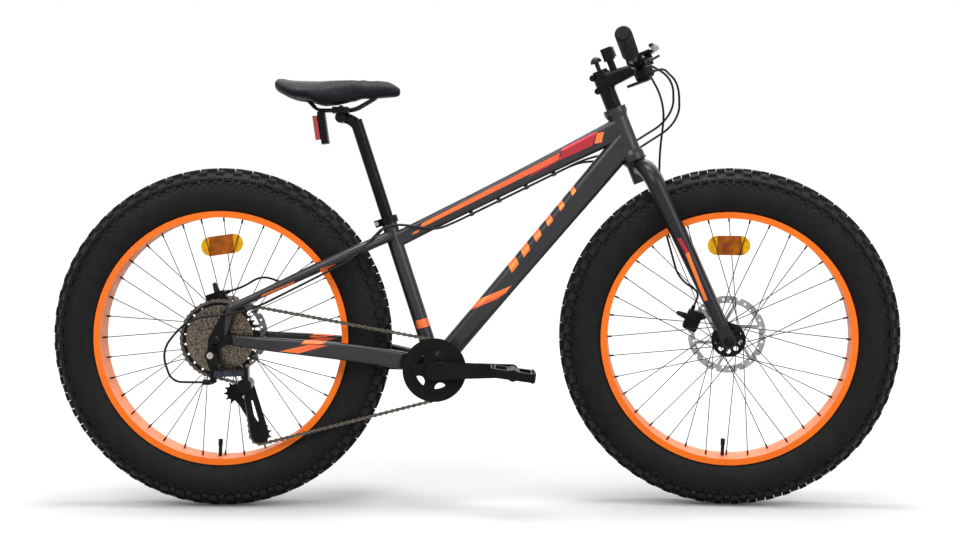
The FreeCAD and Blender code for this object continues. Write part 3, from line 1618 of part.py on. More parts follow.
def spider_in():
    """Distance of the chainring's outer face from the middle plane."""
    return ring_out + ring_thick / 2


def bolt_circle(y):
    """Ring bolt positions at a side offset."""
    return [polar(ring_bolt_pcd_r, y, full_turn * (i + 1 / 2) / ring_bolts) for i in range(ring_bolts)]


def crank_arm(side):
    """One crank arm with its boss over the spindle, pointing forward when side is -1."""
    tip_x = -side * crank_len
    inner = side * crank_in
    low = min(inner, inner + side * crank_thick)
    arm = taper_bar(V(0, low, 0), crank_root_r, V(tip_x, low, 0), crank_tip_r, crank_thick)
    boss = rod(crank_root_r, V(0, side * (bb_half + bb_cup_len + clear), 0), V(0, inner, 0))
    return joined([arm, boss])


def cranks():
    """Two crank arms on one spindle, the right one with the chainring spider, and the pedal axles."""
    spindle = rod(spindle_r, V(0, -crank_in, 0), V(0, crank_in, 0))
    y = -spider_in() - spider_thick
    arms = [taper_bar(V(0, y, 0), crank_root_r, at, spider_r, spider_thick) for at in bolt_circle(y)]
    right = joined([crank_arm(-1)] + arms).cut(spindle)
    for at in bolt_circle(y):
        right = right.cut(rod(bolt_r, at - left * overrun, at + left * (spider_thick + overrun)))
    solids = [right, crank_arm(1).cut(spindle), spindle]
    for side in (-1, 1):
        face = side * (crank_in + crank_thick)
        tip = V(-side * crank_len, face, 0)
        end = V(tip.x, side * (pedal_in + pedal_width - pedal_bar - clear), 0)
        collar = rod(pedal_axle_r + pedal_pin_r, tip, V(tip.x, side * (pedal_in - clear), 0))
        solids.append(joined([rod(pedal_axle_r, tip, end), collar]))
    return group([moved(shape, bb_at) for shape in solids])


def chainring(phase):
    """Toothed chainring with bolt holes."""
    body = sprocket(ring_teeth, -ring_out, ring_thick, ring_bolt_pcd_r - spider_r, phase)
    for at in bolt_circle(-ring_out - overrun):
        body = body.cut(rod(bolt_r, at, at + left * (2 * overrun)))
    return moved(body, bb_at)


def chain_guard():
    """Guard disc outside the chainring with round windows, and the ring bolts."""
    inner = -spider_in() - spider_thick
    outer = inner - guard_thick
    disc = ring(outer, inner, guard_r, crank_root_r + clear)
    lip = ring(outer, outer + guard_thick / 2, guard_r + guard_lip, guard_r)
    disc = joined([disc, lip])
    bolts = []
    for i, at in enumerate(bolt_circle(outer)):
        bolts.append(screw(at, -left, guard_thick + spider_thick + ring_thick))
        window = polar(guard_window_pcd_r, outer - overrun, full_turn * i / ring_bolts)
        disc = disc.cut(rod(guard_window_r, window, window + left * (2 * overrun + guard_thick)))
    for bolt in bolts:
        disc = disc.cut(bolt)
    return group([moved(shape, bb_at) for shape in [disc] + bolts])


def pedal(side):
    """Platform pedal: an open frame round a barrel, with grip pins, tipped nose down."""
    frame = round_box(pedal_len, pedal_width, pedal_thick, pedal_corner)
    window_len = pedal_len / 2 - pedal_bar - pedal_barrel_r * pedal_gap_share
    window = round_box(window_len, pedal_width - 2 * pedal_bar, 2 * pedal_thick, pedal_corner / 2)
    centre = pedal_barrel_r * pedal_gap_share + window_len / 2
    for s in (-1, 1):
        frame = frame.cut(moved(window, V(s * centre, 0, 0)))
    barrel = rod(pedal_barrel_r, V(0, -pedal_width / 2, 0), V(0, pedal_width / 2, 0))
    pins = []
    for s in (-1, 1):
        for t in (-1, 1):
            for i in range(pedal_pins):
                y = pedal_width * ((i + 1 / 2) / pedal_pins - 1 / 2)
                start = V(s * (pedal_len / 2 - pedal_bar / 2), y, t * pedal_thick * pin_sink_share)
                pins.append(rod(pedal_pin_r, start, start + V(0, 0,
                        t * (pedal_thick * pin_sink_share / 4 + pedal_pin_len))))
    body = joined([frame, barrel] + pins)
    blind = pedal_width / 2 - pedal_bar
    near = V(0, -side * (pedal_width / 2 + overrun), 0)
    body = body.cut(rod(pedal_axle_r + fit, near, V(0, side * blind, 0)))
    body = turned(body, V(0, 1, 0), pedal_tip_deg)
    return moved(body, bb_at + V(-side * crank_len, side * (pedal_in + pedal_width / 2), 0))


# Rear derailleur


def hanger_point():
    """Centre of the hanger bolt in the middle plane."""
    return rear_axle_at + V(-hanger_back, 0, -hanger_down)


def link_roots():
    """Outer and inner fixed pivots of the derailleur links."""
    root = hanger_point() + V(link_root_ahead, 0, -link_root_down)
    return V(root.x, -link_out, root.z), V(root.x, link_gap - link_out, root.z)


def link_step():
    """From a fixed pivot to its moving pivot at rest."""
    angle = math.radians(link_rest_deg)
    return V(link_len * math.cos(angle), link_len * math.sin(angle), 0)


def bracket(outer, inner, facing):
    """Slotted block that holds one end of both links, open toward the links, with its two pins."""
    half = link_height / 2 + clear
    back = link_eye_r + clear + bracket_wall
    low_x = outer.x - back if facing > 0 else outer.x - link_eye_r
    size = V(back + link_eye_r, inner.y - outer.y + 2 * link_eye_r, 2 * half + 2 * bracket_wall)
    block = Part.makeBox(size.x, size.y, size.z, V(low_x, outer.y - link_eye_r, outer.z - size.z / 2))
    slot_x = low_x + bracket_wall if facing > 0 else low_x - overrun
    slot_len = size.x + overrun - bracket_wall
    slot = Part.makeBox(slot_len, size.y + 2 * overrun, 2 * half, V(slot_x,
            outer.y - link_eye_r - overrun, outer.z - half))
    pins = [rod(link_pin_r, at - V(0, 0, size.z / 2), at + V(0, 0, size.z / 2)) for at in (outer, inner)]
    return [block.cut(slot)] + pins


def derailleur_knuckle():
    """Upper knuckle on the hanger, with the links' fixed pivots, the cable's adjuster and the hanger bolt."""
    outer, inner = link_roots()
    face = -dropout_in - dropout_thick
    centre = hanger_point() + V(0, face - knuckle_thick, 0)
    shoulder = V(outer.x - link_eye_r, centre.y, outer.z + link_height / 2 + knuckle_arm_height + clear)
    arm = taper_bar(centre, knuckle_r, shoulder, knuckle_arm_height, knuckle_thick)
    body = joined(bracket(outer, inner, 1) + [arm, adjuster_rod()])
    hole = rod(bolt_head_r, centre - left * overrun, centre + left * (knuckle_thick + overrun))
    head = rod(bolt_head_r + bolt_r, centre - left * bolt_head_len, centre)
    socket = rod(bolt_r, centre - left * (bolt_head_len + overrun), centre - left * (bolt_head_len / 2))
    shank = rod(bolt_head_r, centre, centre + left * (knuckle_thick + dropout_thick))
    return group([body.cut(hole), joined([head, shank]).cut(socket)])


def adjuster_ends():
    """Start and end of the derailleur's barrel adjuster."""
    outer, inner = link_roots()
    down_by = link_height / 2 + 2 * clear + 2 * barrel_adjuster_r
    start = V(outer.x - link_eye_r - bracket_wall, (outer.y + inner.y) / 2, outer.z - down_by)
    return start, start + V(-barrel_adjuster_len, 0, 0)


def adjuster_rod():
    """Barrel adjuster with its root in the knuckle."""
    start, end = adjuster_ends()
    root = rod(barrel_adjuster_r, start, start + V(2 * bracket_wall, 0, barrel_adjuster_r))
    return joined([rod(barrel_adjuster_r, start, end), root])


def derailleur_link(at):
    """One derailleur link from its fixed pivot."""
    end = at + link_step()
    body = flat_bar(V(at.x, at.y, 0), link_eye_r, V(end.x, end.y, 0), link_eye_r, link_height)
    for pin in (at, end):
        body = body.cut(rod(link_pin_r + fit, V(pin.x, pin.y, -link_height), V(pin.x, pin.y, link_height)))
    return moved(body, V(0, 0, at.z))


def cage_pivot():
    """Cage pivot in the middle plane."""
    return rear_axle_at + V(cage_pivot_ahead, 0, -cage_pivot_down)


def derailleur_p_knuckle():
    """Lower knuckle: the links' moving pivots above a barrel for the cage's pivot."""
    outer, inner = [at + link_step() for at in link_roots()]
    pivot = cage_pivot()
    inner_end = -cog_in - cage_half - cage_plate - clear
    start = V(pivot.x, outer.y - link_eye_r, pivot.z)
    barrel = rod(p_body_r, start, V(pivot.x, inner_end, pivot.z))
    web_x = outer.x + link_eye_r + clear
    web_len = inner.y - outer.y + 2 * link_eye_r
    web = Part.makeBox(bracket_wall, web_len, outer.z - pivot.z, V(web_x, outer.y - link_eye_r, pivot.z))
    body = joined(bracket(outer, inner, -1) + [barrel, web])
    bore_start = V(pivot.x, inner_end - stub_len, pivot.z)
    return body.cut(rod(stub_r + fit, bore_start, V(pivot.x, inner_end + overrun, pivot.z)))


def derailleur_cage(turn_deg):
    """Cage: two plates, the bolts that carry the pulleys and the stub in the lower knuckle."""
    wheels = chain_circles(turn_deg)
    guide = wheels[2][0]
    tension = wheels[3][0]
    pivot = cage_pivot()
    outer_y = -cog_in - cage_half - cage_plate
    inner_y = -cog_in + cage_half
    at_outer = V(0, outer_y, 0)
    at_inner = V(0, inner_y, 0)
    outer = joined([taper_bar(pivot + at_outer, p_body_r - bracket_wall / 2, tension + at_outer,
            cage_foot_r, cage_plate),
                    taper_bar(pivot + at_outer, p_body_r - bracket_wall / 2, guide + at_outer,
                            cage_eye_r, cage_plate)])
    inner = taper_bar(guide + at_inner, cage_eye_r, tension + at_inner, cage_eye_r, cage_plate)
    window = blend(pivot, tension, cage_window_share) + at_outer
    window_end = blend(pivot, tension, cage_window_end_share) + at_outer
    hole = taper_bar(window - left * overrun, cage_plate, window_end - left * overrun, cage_eye_r / 2,
            2 * overrun)
    outer = outer.cut(hole)
    bolts = []
    for at in (guide, tension):
        bolts.append(rod(pulley_bore_r - fit, at + at_outer, at + at_inner + left * cage_plate))
    for bolt in bolts:
        outer = outer.cut(bolt)
        inner = inner.cut(bolt)
    stub = rod(stub_r, pivot + at_outer - left * (stub_len - clear), pivot + at_outer)
    return group([joined([outer, stub]), inner] + bolts)


def pulley(centre, phase):
    """Toothed pulley with a thicker hub."""
    wheel = sprocket(pulley_teeth, -cog_in, pulley_thick, pulley_bore_r, phase)
    hub = ring(-cog_in - cage_half + clear, -cog_in + cage_half - clear, cage_eye_r, pulley_bore_r)
    return moved(joined([wheel, hub]), V(centre.x, 0, centre.z))


# Cables


def from_start(offsets, side):
    """Points offset from the top tube's rear end, mirrored to one side."""
    start, end = top_ends()
    return [start + V(x, side * y, z) for x, y, z in offsets]


def frame_cables():
    """Brake and gear cables from the first guide to the rear caliper and the derailleur."""
    points, run, under = cable_guides()
    shift_off = left * -(guide_r + cable_gap)
    past = points[0] - run * guide_run
    shift = [points[-1] + shift_off, past + shift_off] + from_start(stay_cable, -1)
    shift += [rear_axle_at + V(x, -y, z) for x, y, z in derailleur_cable]
    start, end = adjuster_ends()
    shift += [end + V(-barrel_adjuster_len, 0, 0), end]
    brake = [points[-1] - shift_off, past - shift_off] + from_start(stay_cable, 1)
    brake += [rear_axle_at + V(x, y, z) for x, y, z in caliper_cable]
    stop, way = stop_end(rear_rotor_out, rear_caliper_deg)
    brake += [rear_axle_at + stop + way * adjuster_len * 2, rear_axle_at + stop]
    gear_cable = cord(shift, cable_r, "gear cable", bend_share)
    return group([gear_cable, cord(brake, cable_r, "rear brake cable", bend_share)])


def cable_loops():
    """Free loops of the gear and rear brake cables from the right-hand controls to the first guide."""
    points, run, under = cable_guides()
    shapes = []
    gear_end = (gear_loop_lead, gear_loop_swing, gear_loop_dip)
    brake_end = (brake_loop_lead, brake_loop_swing, 0)
    loops = ((pod_cable_end(), gear_loop, -1, gear_end, "gear loop"),
             (perch_cable_end(), brake_loop, 1, brake_end, "rear brake loop"))
    for (end, way), corners, side, (lead, swing, dip), name in loops:
        end = V(end.x, -end.y, end.z)
        way = V(way.x, -way.y, way.z)
        path = [end, end + way * loop_lead]
        path = [steer_frame.multVec(p) for p in path]
        path += [head_frame.multVec(V(x, y, head_low + z)) for x, y, z in corners]
        last = points[-1] + left * (side * (guide_r + cable_gap))
        path += [points[-1] + run * swing + left * loop_out + under * dip, last + run * lead, last]
        shapes.append(cord(path, cable_r, name, bend_share))
    return group(shapes)


def front_brake_cable():
    """Front brake cable from the left lever down the left blade to the caliper."""
    end, way = perch_cable_end()
    path = [end, end + way * loop_lead]
    path += [V(x, y, head_low + z) for x, y, z in fork_cable]
    stop, into = stop_end(front_rotor_out, front_caliper_deg)
    path += [front_axle_local + stop + into * adjuster_len * 2, front_axle_local + stop]
    return cord(path, cable_r, "front brake cable", bend_share)


# Wheels, each made about its own axle along y


def rim():
    """Rim channel with hooked edges, drilled for the nipples and the valve."""
    floor_top = rim_floor_r + rim_wall
    inner = rim_half - rim_wall
    outline = [(-rim_half, rim_floor_r), (rim_half, rim_floor_r), (rim_half, rim_r), (inner - rim_hook,
            rim_r)]
    outline += [(inner - rim_hook, rim_r - rim_wall), (inner, rim_r - rim_wall), (inner, floor_top)]
    outline += [(-inner, floor_top), (-inner, rim_r - rim_wall), (rim_hook - inner, rim_r - rim_wall)]
    outline += [(rim_hook - inner, rim_r), (-rim_half, rim_r)]
    return spun(outline)


def tyre_curve(inset, bead_r):
    """Edges from the right bead over the crown to the left bead, drawn in by an inset."""
    bead = rim_half - rim_wall - rim_hook - clear - inset
    start = V(bead_r, -bead, 0)
    wide = V(tyre_wide_r, inset - tyre_half, 0)
    shoulder = V(tyre_shoulder_r - inset / 2, inset - tyre_shoulder_half, 0)
    crown = V(tyre_crown_r - inset, 0, 0)
    right = Part.Arc(start, wide, shoulder).toShape()
    shoulder_left = V(shoulder.x, -shoulder.y, 0)
    top = Part.Arc(shoulder, crown, shoulder_left).toShape()
    other = Part.Arc(shoulder_left, V(wide.x, -wide.y, 0), V(start.x, -start.y, 0)).toShape()
    return [right, top, other]


def casing():
    """Tyre casing with its two beads standing in the rim channel."""
    foot = rim_floor_r + rim_wall + clear
    edge = rim_r + clear
    bead = rim_half - rim_wall - rim_hook - clear
    outer = tyre_curve(0, edge)
    inner = tyre_curve(tyre_wall, edge)
    thin = bead - tyre_wall
    foot_out = V(foot, -bead, 0)
    foot_in = V(foot, -thin, 0)
    edges = outer
    edges.append(Part.makeLine(V(edge, bead, 0), V(foot, bead, 0)))
    edges.append(Part.makeLine(V(foot, bead, 0), V(foot, thin, 0)))
    edges.append(Part.makeLine(V(foot, thin, 0), V(edge, thin, 0)))
    edges += inner
    edges.append(Part.makeLine(V(edge, -thin, 0), foot_in))
    edges.append(Part.makeLine(foot_in, foot_out))
    edges.append(Part.makeLine(foot_out, V(edge, -bead, 0)))
    wire = Part.Wire(Part.sortEdges(edges)[0])
    return Part.Face(wire).revolve(V(), V(0, 1, 0), full_turn)


def crown_height(y):
    """Radius of the casing's crown arc at a distance from the middle plane."""
    sag = tyre_crown_r - tyre_shoulder_r
    arc_r = (tyre_shoulder_half * tyre_shoulder_half + sag * sag) / (2 * sag)
    return tyre_crown_r - arc_r + math.sqrt(arc_r * arc_r - y * y)


def knob(outline, at_deg):
    """One tread knob: a section in (y, radius) swept along a short arc of the tyre."""
    corners = [V(r, y, 0) for y, r in outline]
    wire = Part.makePolygon(corners + corners[:1])
    span = full_turn / knob_pitches * knob_share
    return turned(Part.Face(wire).revolve(V(), V(0, 1, 0), span), V(0, 1, 0), at_deg - span / 2)


def tyre():
    """Casing with staggered rows of centre, middle and edge knobs."""
    pitch = full_turn / knob_pitches
    c_in = crown_height(centre_knob_in)
    c_out = crown_height(centre_knob_out)
    rise = tyre_r - c_in
    centre = [(centre_knob_in, c_in - knob_bite), (centre_knob_out, c_out - knob_bite)]
    centre += [(centre_knob_out, c_out + rise), (centre_knob_in, tyre_r)]
    m_in = crown_height(mid_knob_in)
    m_out = crown_height(mid_knob_out)
    middle = [(mid_knob_in, m_in - knob_bite), (mid_knob_out, m_out - knob_bite)]
    middle += [(mid_knob_out, m_out + mid_knob_rise), (mid_knob_in, m_in + mid_knob_rise)]
    e_in = crown_height(edge_knob_in)
    edge = [(edge_knob_in, e_in - knob_bite), (tyre_shoulder_half - knob_bite, tyre_shoulder_r - knob_bite)]
    edge += [(tyre_shoulder_half + edge_knob_side, tyre_shoulder_r - knob_bite)]
    edge += [(tyre_shoulder_half + edge_knob_side, tyre_shoulder_r + edge_knob_rise)]
    edge += [(edge_knob_in, e_in + edge_knob_rise)]
    knobs = []
    for i in range(knob_pitches):
        for outline, shift in ((centre, 0), (middle, 1), (edge, 0)):
            other = [(-y, r) for y, r in outline]
            knobs.append(knob(outline, pitch * (i + shift / 2)))
            knobs.append(knob(other, pitch * (i + (1 - shift) / 2)))
    return casing().multiFuse(knobs)


def inner_tube(at_deg):
    """Inner tube lining the tyre, with its valve and cap at the given turn."""
    gap = tyre_wall + clear
    floor = rim_floor_r + rim_wall + clear
    edge = rim_r + clear
    outer = tyre_curve(gap, edge)
    inner = tyre_curve(gap + tube_thick, edge)
    out = rim_half - rim_wall - rim_hook - clear - gap
    thin = out - tube_thick
    low = floor + tube_thick
    edges = outer
    corners = [V(edge, out, 0), V(floor, out, 0), V(floor, -out, 0), V(edge, -out, 0)]
    outer_wire = Part.Wire(Part.sortEdges(edges + [Part.makeLine(a, b) for a, b in zip(corners,
            corners[1:])])[0])
    hollow = [V(edge, thin, 0), V(low, thin, 0), V(low, -thin, 0), V(edge, -thin, 0)]
    inner_wire = Part.Wire(Part.sortEdges(inner + [Part.makeLine(a, b) for a, b in zip(hollow,
            hollow[1:])])[0])
    solid = Part.Face(outer_wire).revolve(V(), V(0, 1, 0), full_turn)
    solid = solid.cut(Part.Face(inner_wire).revolve(V(), V(0, 1, 0), full_turn))
    stem_top = rim_floor_r - valve_len
    stem = rod(valve_r, V(stem_top, 0, 0), V(floor + tube_thick / 2, 0, 0))
    cap = rod(valve_cap_r, V(stem_top - clear, 0, 0), V(stem_top + valve_cap_len, 0, 0))
    cap = cap.cut(rod(valve_r, V(stem_top, 0, 0), V(stem_top + 2 * valve_cap_len, 0, 0)))
    tube = joined([solid, stem])
    return group([turned(shape, V(0, 1, 0), at_deg) for shape in (tube, cap)])


def valve_hole(at_deg):
    """Cutter for the valve's hole in the rim floor."""
    hole = rod(valve_r + clear, V(rim_floor_r - overrun, 0, 0), V(rim_floor_r + rim_wall + overrun, 0, 0))
    return turned(hole, V(0, 1, 0), at_deg)


def polar(r, y, degrees):
    """A point of a wheel from its radius, side offset and turn."""
    angle = math.radians(degrees)
    return V(r * math.cos(angle), y, -r * math.sin(angle))


def lacing(left_flange, left_r, right_flange, right_r):
    """Hub and rim ends of every spoke, with the flange side that its elbow stands on."""
    ends = []
    per_side = spoke_count // 2
    step = full_turn / per_side
    sweep = spoke_cross * 2 * full_turn / spoke_count
    for flange, hole_r, side in ((left_flange, left_r, 1), (right_flange, right_r, -1)):
        start = step / 2 if side > 0 else 0
        for i in range(per_side):
            lead = 1 if i % 2 else -1
            face = flange + lead * (flange_thick / 2 + spoke_r + fit)
            hub_end = polar(hole_r - hole_inset, face, start + step * i)
            rim_end = polar(rim_floor_r, side * spoke_row, start + step * i + lead * sweep)
            ends.append((hub_end, rim_end, flange, lead))
    return ends


def spokes(ends):
    """Every spoke with its elbow, head and nipple."""
    shapes = []
    for hub_end, rim_end, flange, lead in ends:
        run = (rim_end - hub_end).normalize()
        nipple_start = rim_end - run * (nipple_len - rim_wall)
        wire = rod(spoke_r, hub_end, nipple_start)
        far = V(hub_end.x, flange - lead * (flange_thick / 2 + fit), hub_end.z)
        elbow = rod(spoke_r, hub_end, far)
        head = rod(spoke_head_r, far, V(far.x, far.y - lead * spoke_r, far.z))
        knee = Part.makeSphere(spoke_r, hub_end)
        shapes.append(wire.multiFuse([elbow, head, knee]))
        shapes.append(rod(nipple_r, nipple_start, nipple_start + run * nipple_len))
    return group(shapes)


def drilled(solid, ends):
    """A hub with its spoke holes drilled through both flanges, and a bed for each spoke."""
    tools = []
    bore = spoke_r + fit
    for hub_end, rim_end, flange, lead in ends:
        run = (rim_end - hub_end).normalize()
        low = V(hub_end.x, flange - flange_thick, hub_end.z)
        tools.append(rod(bore, low, V(hub_end.x, flange + flange_thick, hub_end.z)))
        tools.append(rod(bore, hub_end, hub_end + run * spoke_bed_len))
    return solid.cut(tools)


def drilled_rim(ends, valve_deg):
    """The rim with holes for its nipples and valve."""
    holes = [valve_hole(valve_deg)]
    for hub_end, rim_end, flange, lead in ends:
        run = (rim_end - hub_end).normalize()
        holes.append(rod(nipple_r + fit, rim_end - run * nipple_len, rim_end + run * nipple_len))
    return rim().cut(group(holes))


def rotor(out):
    """Wavy drilled brake disc with slanted arms, and its bolts, at a side offset."""
    y1 = out - rotor_thick / 2
    y2 = out + rotor_thick / 2
    band = ring(y1, y2, rotor_r, rotor_r - rotor_band)
    hub_ring = ring(y1, y2, rotor_hub_r, rotor_bore_r)
    reach = rotor_r - rotor_band / 2
    arm = Part.makeBox(reach, rotor_thick, rotor_arm_width, V(0, y1, rotor_pcd_r - rotor_arm_width))
    arm = arm.cut(rod(rotor_hub_r - rotor_wave_depth, V(0, y1 - overrun, 0), V(0, y2 + overrun, 0)))
    arm = arm.common(ring(y1, y2, reach, rotor_bore_r))
    disc = joined([band, hub_ring] + around(arm, rotor_arms))
    wave_at = V(rotor_r + rotor_wave_r - rotor_wave_depth, y1 - overrun, 0)
    wave = rod(rotor_wave_r, wave_at, wave_at + left * (2 * overrun + rotor_thick))
    cuts = around(wave, rotor_waves)
    for i in range(rotor_holes):
        share = (i % 3 + 1) / 4
        at = polar(rotor_r - rotor_band * share, y1 - overrun, full_turn * i / rotor_holes)
        cuts.append(rod(rotor_hole_r, at, at + left * (2 * overrun + rotor_thick)))
    bolt_hole_at = V(rotor_pcd_r, y1 - overrun, 0)
    hole = rod(bolt_r, bolt_hole_at, bolt_hole_at + left * (2 * overrun + rotor_thick))
    disc = disc.cut(group(cuts + around(hole, rotor_arms)))
    bolt = screw(V(rotor_pcd_r, y2, 0), left, 2 * rotor_thick)
    return [disc] + around(bolt, rotor_arms)


def bolt_seats(solid, out):
    """A hub with holes for the disc bolts."""
    start = V(rotor_pcd_r, out - rotor_thick / 2 - 3 * rotor_thick, 0)
    hole = rod(bolt_r, start, start + left * (4 * rotor_thick))
    return solid.cut(group(around(hole, rotor_arms)))


def rear_hub(ends):
    """Rear hub shell with two flanges and the disc carrier."""
    bore = axle_r + fit
    seat = rear_rotor_out - rotor_thick / 2
    half = flange_thick / 2
    lip = rotor_bore_r - clear
    outline = [(-freehub_start, bore), (-freehub_start, rear_hub_r), (rear_right_flange - half, rear_hub_r)]
    outline += [(rear_right_flange - half, rear_flange_r), (rear_right_flange + half, rear_flange_r)]
    outline += [(rear_right_flange + half, rear_hub_r), (rear_left_flange - half, rear_hub_r)]
    outline += [(rear_left_flange - half, rear_flange_r), (rear_left_flange + half, rear_flange_r)]
    outline += [(rear_left_flange + half, rear_hub_r), (seat - 3 * rotor_thick, rear_hub_r)]
    outline += [(seat - 3 * rotor_thick, rotor_hub_r), (seat, rotor_hub_r), (seat, lip)]
    outline += [(seat + 3 * rotor_thick, lip), (seat + 3 * rotor_thick, nut_r), (dropout_in - clear, nut_r)]
    outline += [(dropout_in - clear, bore)]
    hub = bolt_seats(drilled(spun(outline), ends), rear_rotor_out)
    return group([hub] + rotor(rear_rotor_out))


def front_hub(ends):
    """Front hub shell: a large pierced flange on the right, a smaller one and the disc on the left."""
    bore = axle_r + fit
    seat = front_rotor_out - rotor_thick / 2
    half = flange_thick / 2
    lip = rotor_bore_r - clear
    outline = [(clear - fork_drop_in, bore), (clear - fork_drop_in, nut_r),
            (front_right_flange - 3 * half, nut_r)]
    outline += [(front_right_flange - half, front_hub_r), (front_right_flange - half, front_flange_r)]
    outline += [(front_right_flange + half, front_flange_r), (front_right_flange + half, front_hub_r)]
    outline += [(front_left_flange - half, front_hub_r), (front_left_flange - half, front_left_r)]
    outline += [(front_left_flange + half, front_left_r), (front_left_flange + half, front_hub_r)]
    outline += [(seat - 3 * rotor_thick, front_hub_r), (seat - 3 * rotor_thick, rotor_hub_r), (seat,
            rotor_hub_r)]
    outline += [(seat, lip), (seat + 3 * rotor_thick, lip), (seat + 3 * rotor_thick, nut_r)]
    outline += [(fork_drop_in - clear, nut_r), (fork_drop_in - clear, bore)]
    hub = bolt_seats(drilled(spun(outline), ends), front_rotor_out)
    web = (front_hub_r + front_flange_r - hole_inset) / 2
    hole_r = (front_flange_r - front_hub_r) / 4
    start = polar(web, front_right_flange - flange_thick, full_turn / spoke_count)
    holes = around(rod(hole_r, start, start + left * (2 * flange_thick)), spoke_count // 4)
    return group([hub.cut(group(holes))] + rotor(front_rotor_out))


def reflector(tilt_deg, out):
    """Long reflector between two spokes: a ribbed centre, two end lenses and its clips."""
    half = reflector_height / 2
    start = V(half - reflector_len / 2, -reflector_thick, 0)
    end = V(reflector_len / 2 - half, -reflector_thick, 0)
    body = taper_bar(start, half, end, half, reflector_thick / 2)
    centre = round_box(reflector_centre_len, reflector_height, reflector_thick / 2, reflector_corner)
    centre = moved(turned(centre, V(1, 0, 0), quarter_turn), V(0, -reflector_thick / 4, 0))
    shapes = [turned(shape, V(0, 1, 0), tilt_deg) for shape in (body, centre)]
    return group([moved(shape, V(0, -out, reflector_up)) for shape in shapes])


def save(name, shape):
    """Write one node to its own file."""
    shape.exportStep("parts/" + name + ".step")
    print(name, "solids", len(shape.Solids), "valid", shape.isValid(), "volume", round(shape.Volume))


def save_frame():
    """Write the nodes of the frame."""
    save("head_tube", head_tube())
    save("top_tube", top_tube())
    save("down_tube", down_tube())
    save("seat_tube", seat_tube())
    save("bottom_bracket_shell", bottom_bracket_shell())
    save("chainstays", chainstays())
    save("seatstays", seatstays())
    save("seat_clamp", seat_clamp())
    save("frame_bearings", frame_bearings())
    save("rear_axle", rear_axle())
    save("rear_caliper", rear_caliper())
    save("rear_caliper_arm", moved(caliper_arm(rear_rotor_out, rear_caliper_deg), rear_axle_at))
    save("frame_cables", frame_cables())


def save_saddle():
    """Write the nodes that move with the seatpost."""
    save("seatpost", seatpost())
    save("saddle_rails", saddle_rails())
    save("saddle", saddle())
    save("tail_light", tail_light())


def save_front():
    """Write the nodes that steer."""
    arm = moved(caliper_arm(front_rotor_out, front_caliper_deg), front_axle_local)
    nodes = {
        "fork_steerer": fork_steerer(),
        "fork_blades": fork_blades(),
        "front_axle": front_axle(),
        "headset_spacers": headset_spacers(),
        "stem": stem(),
        "handlebar": handlebar(),
        "grips": group(both_sides(grip())),
        "brake_perches": group(perch() + [mirrored(shape) for shape in perch()]),
        "left_brake_lever": brake_lever(),
        "right_brake_lever": mirrored(brake_lever()),
        "shifter_body": mirrored(shifter()),
        "shift_lever": mirrored(shift_lever()),
        "front_caliper": front_caliper(),
        "front_caliper_arm": arm,
        "front_brake_cable": front_brake_cable(),
        "stem_accessories": group(front_light() + [bell()]),
    }
    for name, shape in nodes.items():
        save(name, placed(shape, steer_frame))
    save("cable_loops", cable_loops())


def save_wheels():
    """Write both wheels."""
    front_at = steer_frame.multiply(FreeCAD.Placement(front_axle_local, FreeCAD.Rotation(V(0, 1, 0),
            head_tilt_deg)))
    rear_at = FreeCAD.Placement(rear_axle_at, FreeCAD.Rotation())
    front_ends = lacing(front_left_flange, front_left_r, front_right_flange, front_flange_r)
    rear_ends = lacing(rear_left_flange, rear_flange_r, rear_right_flange, rear_flange_r)
    tread = tyre()
    wheels = (("front", front_at, front_ends, front_hub(front_ends), (front_reflector_deg,
            front_reflector_out)),
              ("rear", rear_at, rear_ends, rear_hub(rear_ends), (rear_reflector_deg, rear_reflector_out)))
    for name, at, ends, hub, seat in wheels:
        save(name + "_hub", placed(hub, at))
        save(name + "_spokes", placed(spokes(ends), at))
        save(name + "_rim", placed(drilled_rim(ends, valve_deg), at))
        save(name + "_tyre", placed(tread, at))
        save(name + "_inner_tube", placed(inner_tube(valve_deg), at))
        save(name + "_reflector", placed(reflector(*seat), at))


def save_drivetrain():
    """Write the cranks, sprockets, chain and derailleur."""
    turn_deg, links = cage_turn()
    pins, phases = chain_pins(turn_deg, links)
    wheels = chain_circles(turn_deg)
    print("chain links", links, "pins", len(pins), "cage turn", round(turn_deg, 3))
    save("chain", chain(pins))
    save("cassette", cassette(phases[1]))
    save("cranks", cranks())
    save("chainring", chainring(phases[0]))
    save("chain_guard", chain_guard())
    save("right_pedal", pedal(-1))
    save("left_pedal", pedal(1))
    outer, inner = link_roots()
    save("derailleur_knuckle", derailleur_knuckle())
    save("derailleur_outer_link", derailleur_link(outer))
    save("derailleur_inner_link", derailleur_link(inner))
    save("derailleur_p_knuckle", derailleur_p_knuckle())
    save("derailleur_cage", derailleur_cage(turn_deg))
    save("guide_pulley", pulley(wheels[2][0], phases[2]))
    save("tension_pulley", pulley(wheels[3][0], phases[3]))


save_frame()
save_saddle()
save_front()
save_drivetrain()
save_wheels()
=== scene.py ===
import json
import logging
import math
from dataclasses import dataclass
from enum import Enum
from typing import Callable, Optional, Sequence

import bmesh
import bpy
import numpy as np
from bpy.types import Material, Mesh, Node, NodeOutputs, NodeSocket, NodeTree, Object
from mathutils import Matrix, Vector

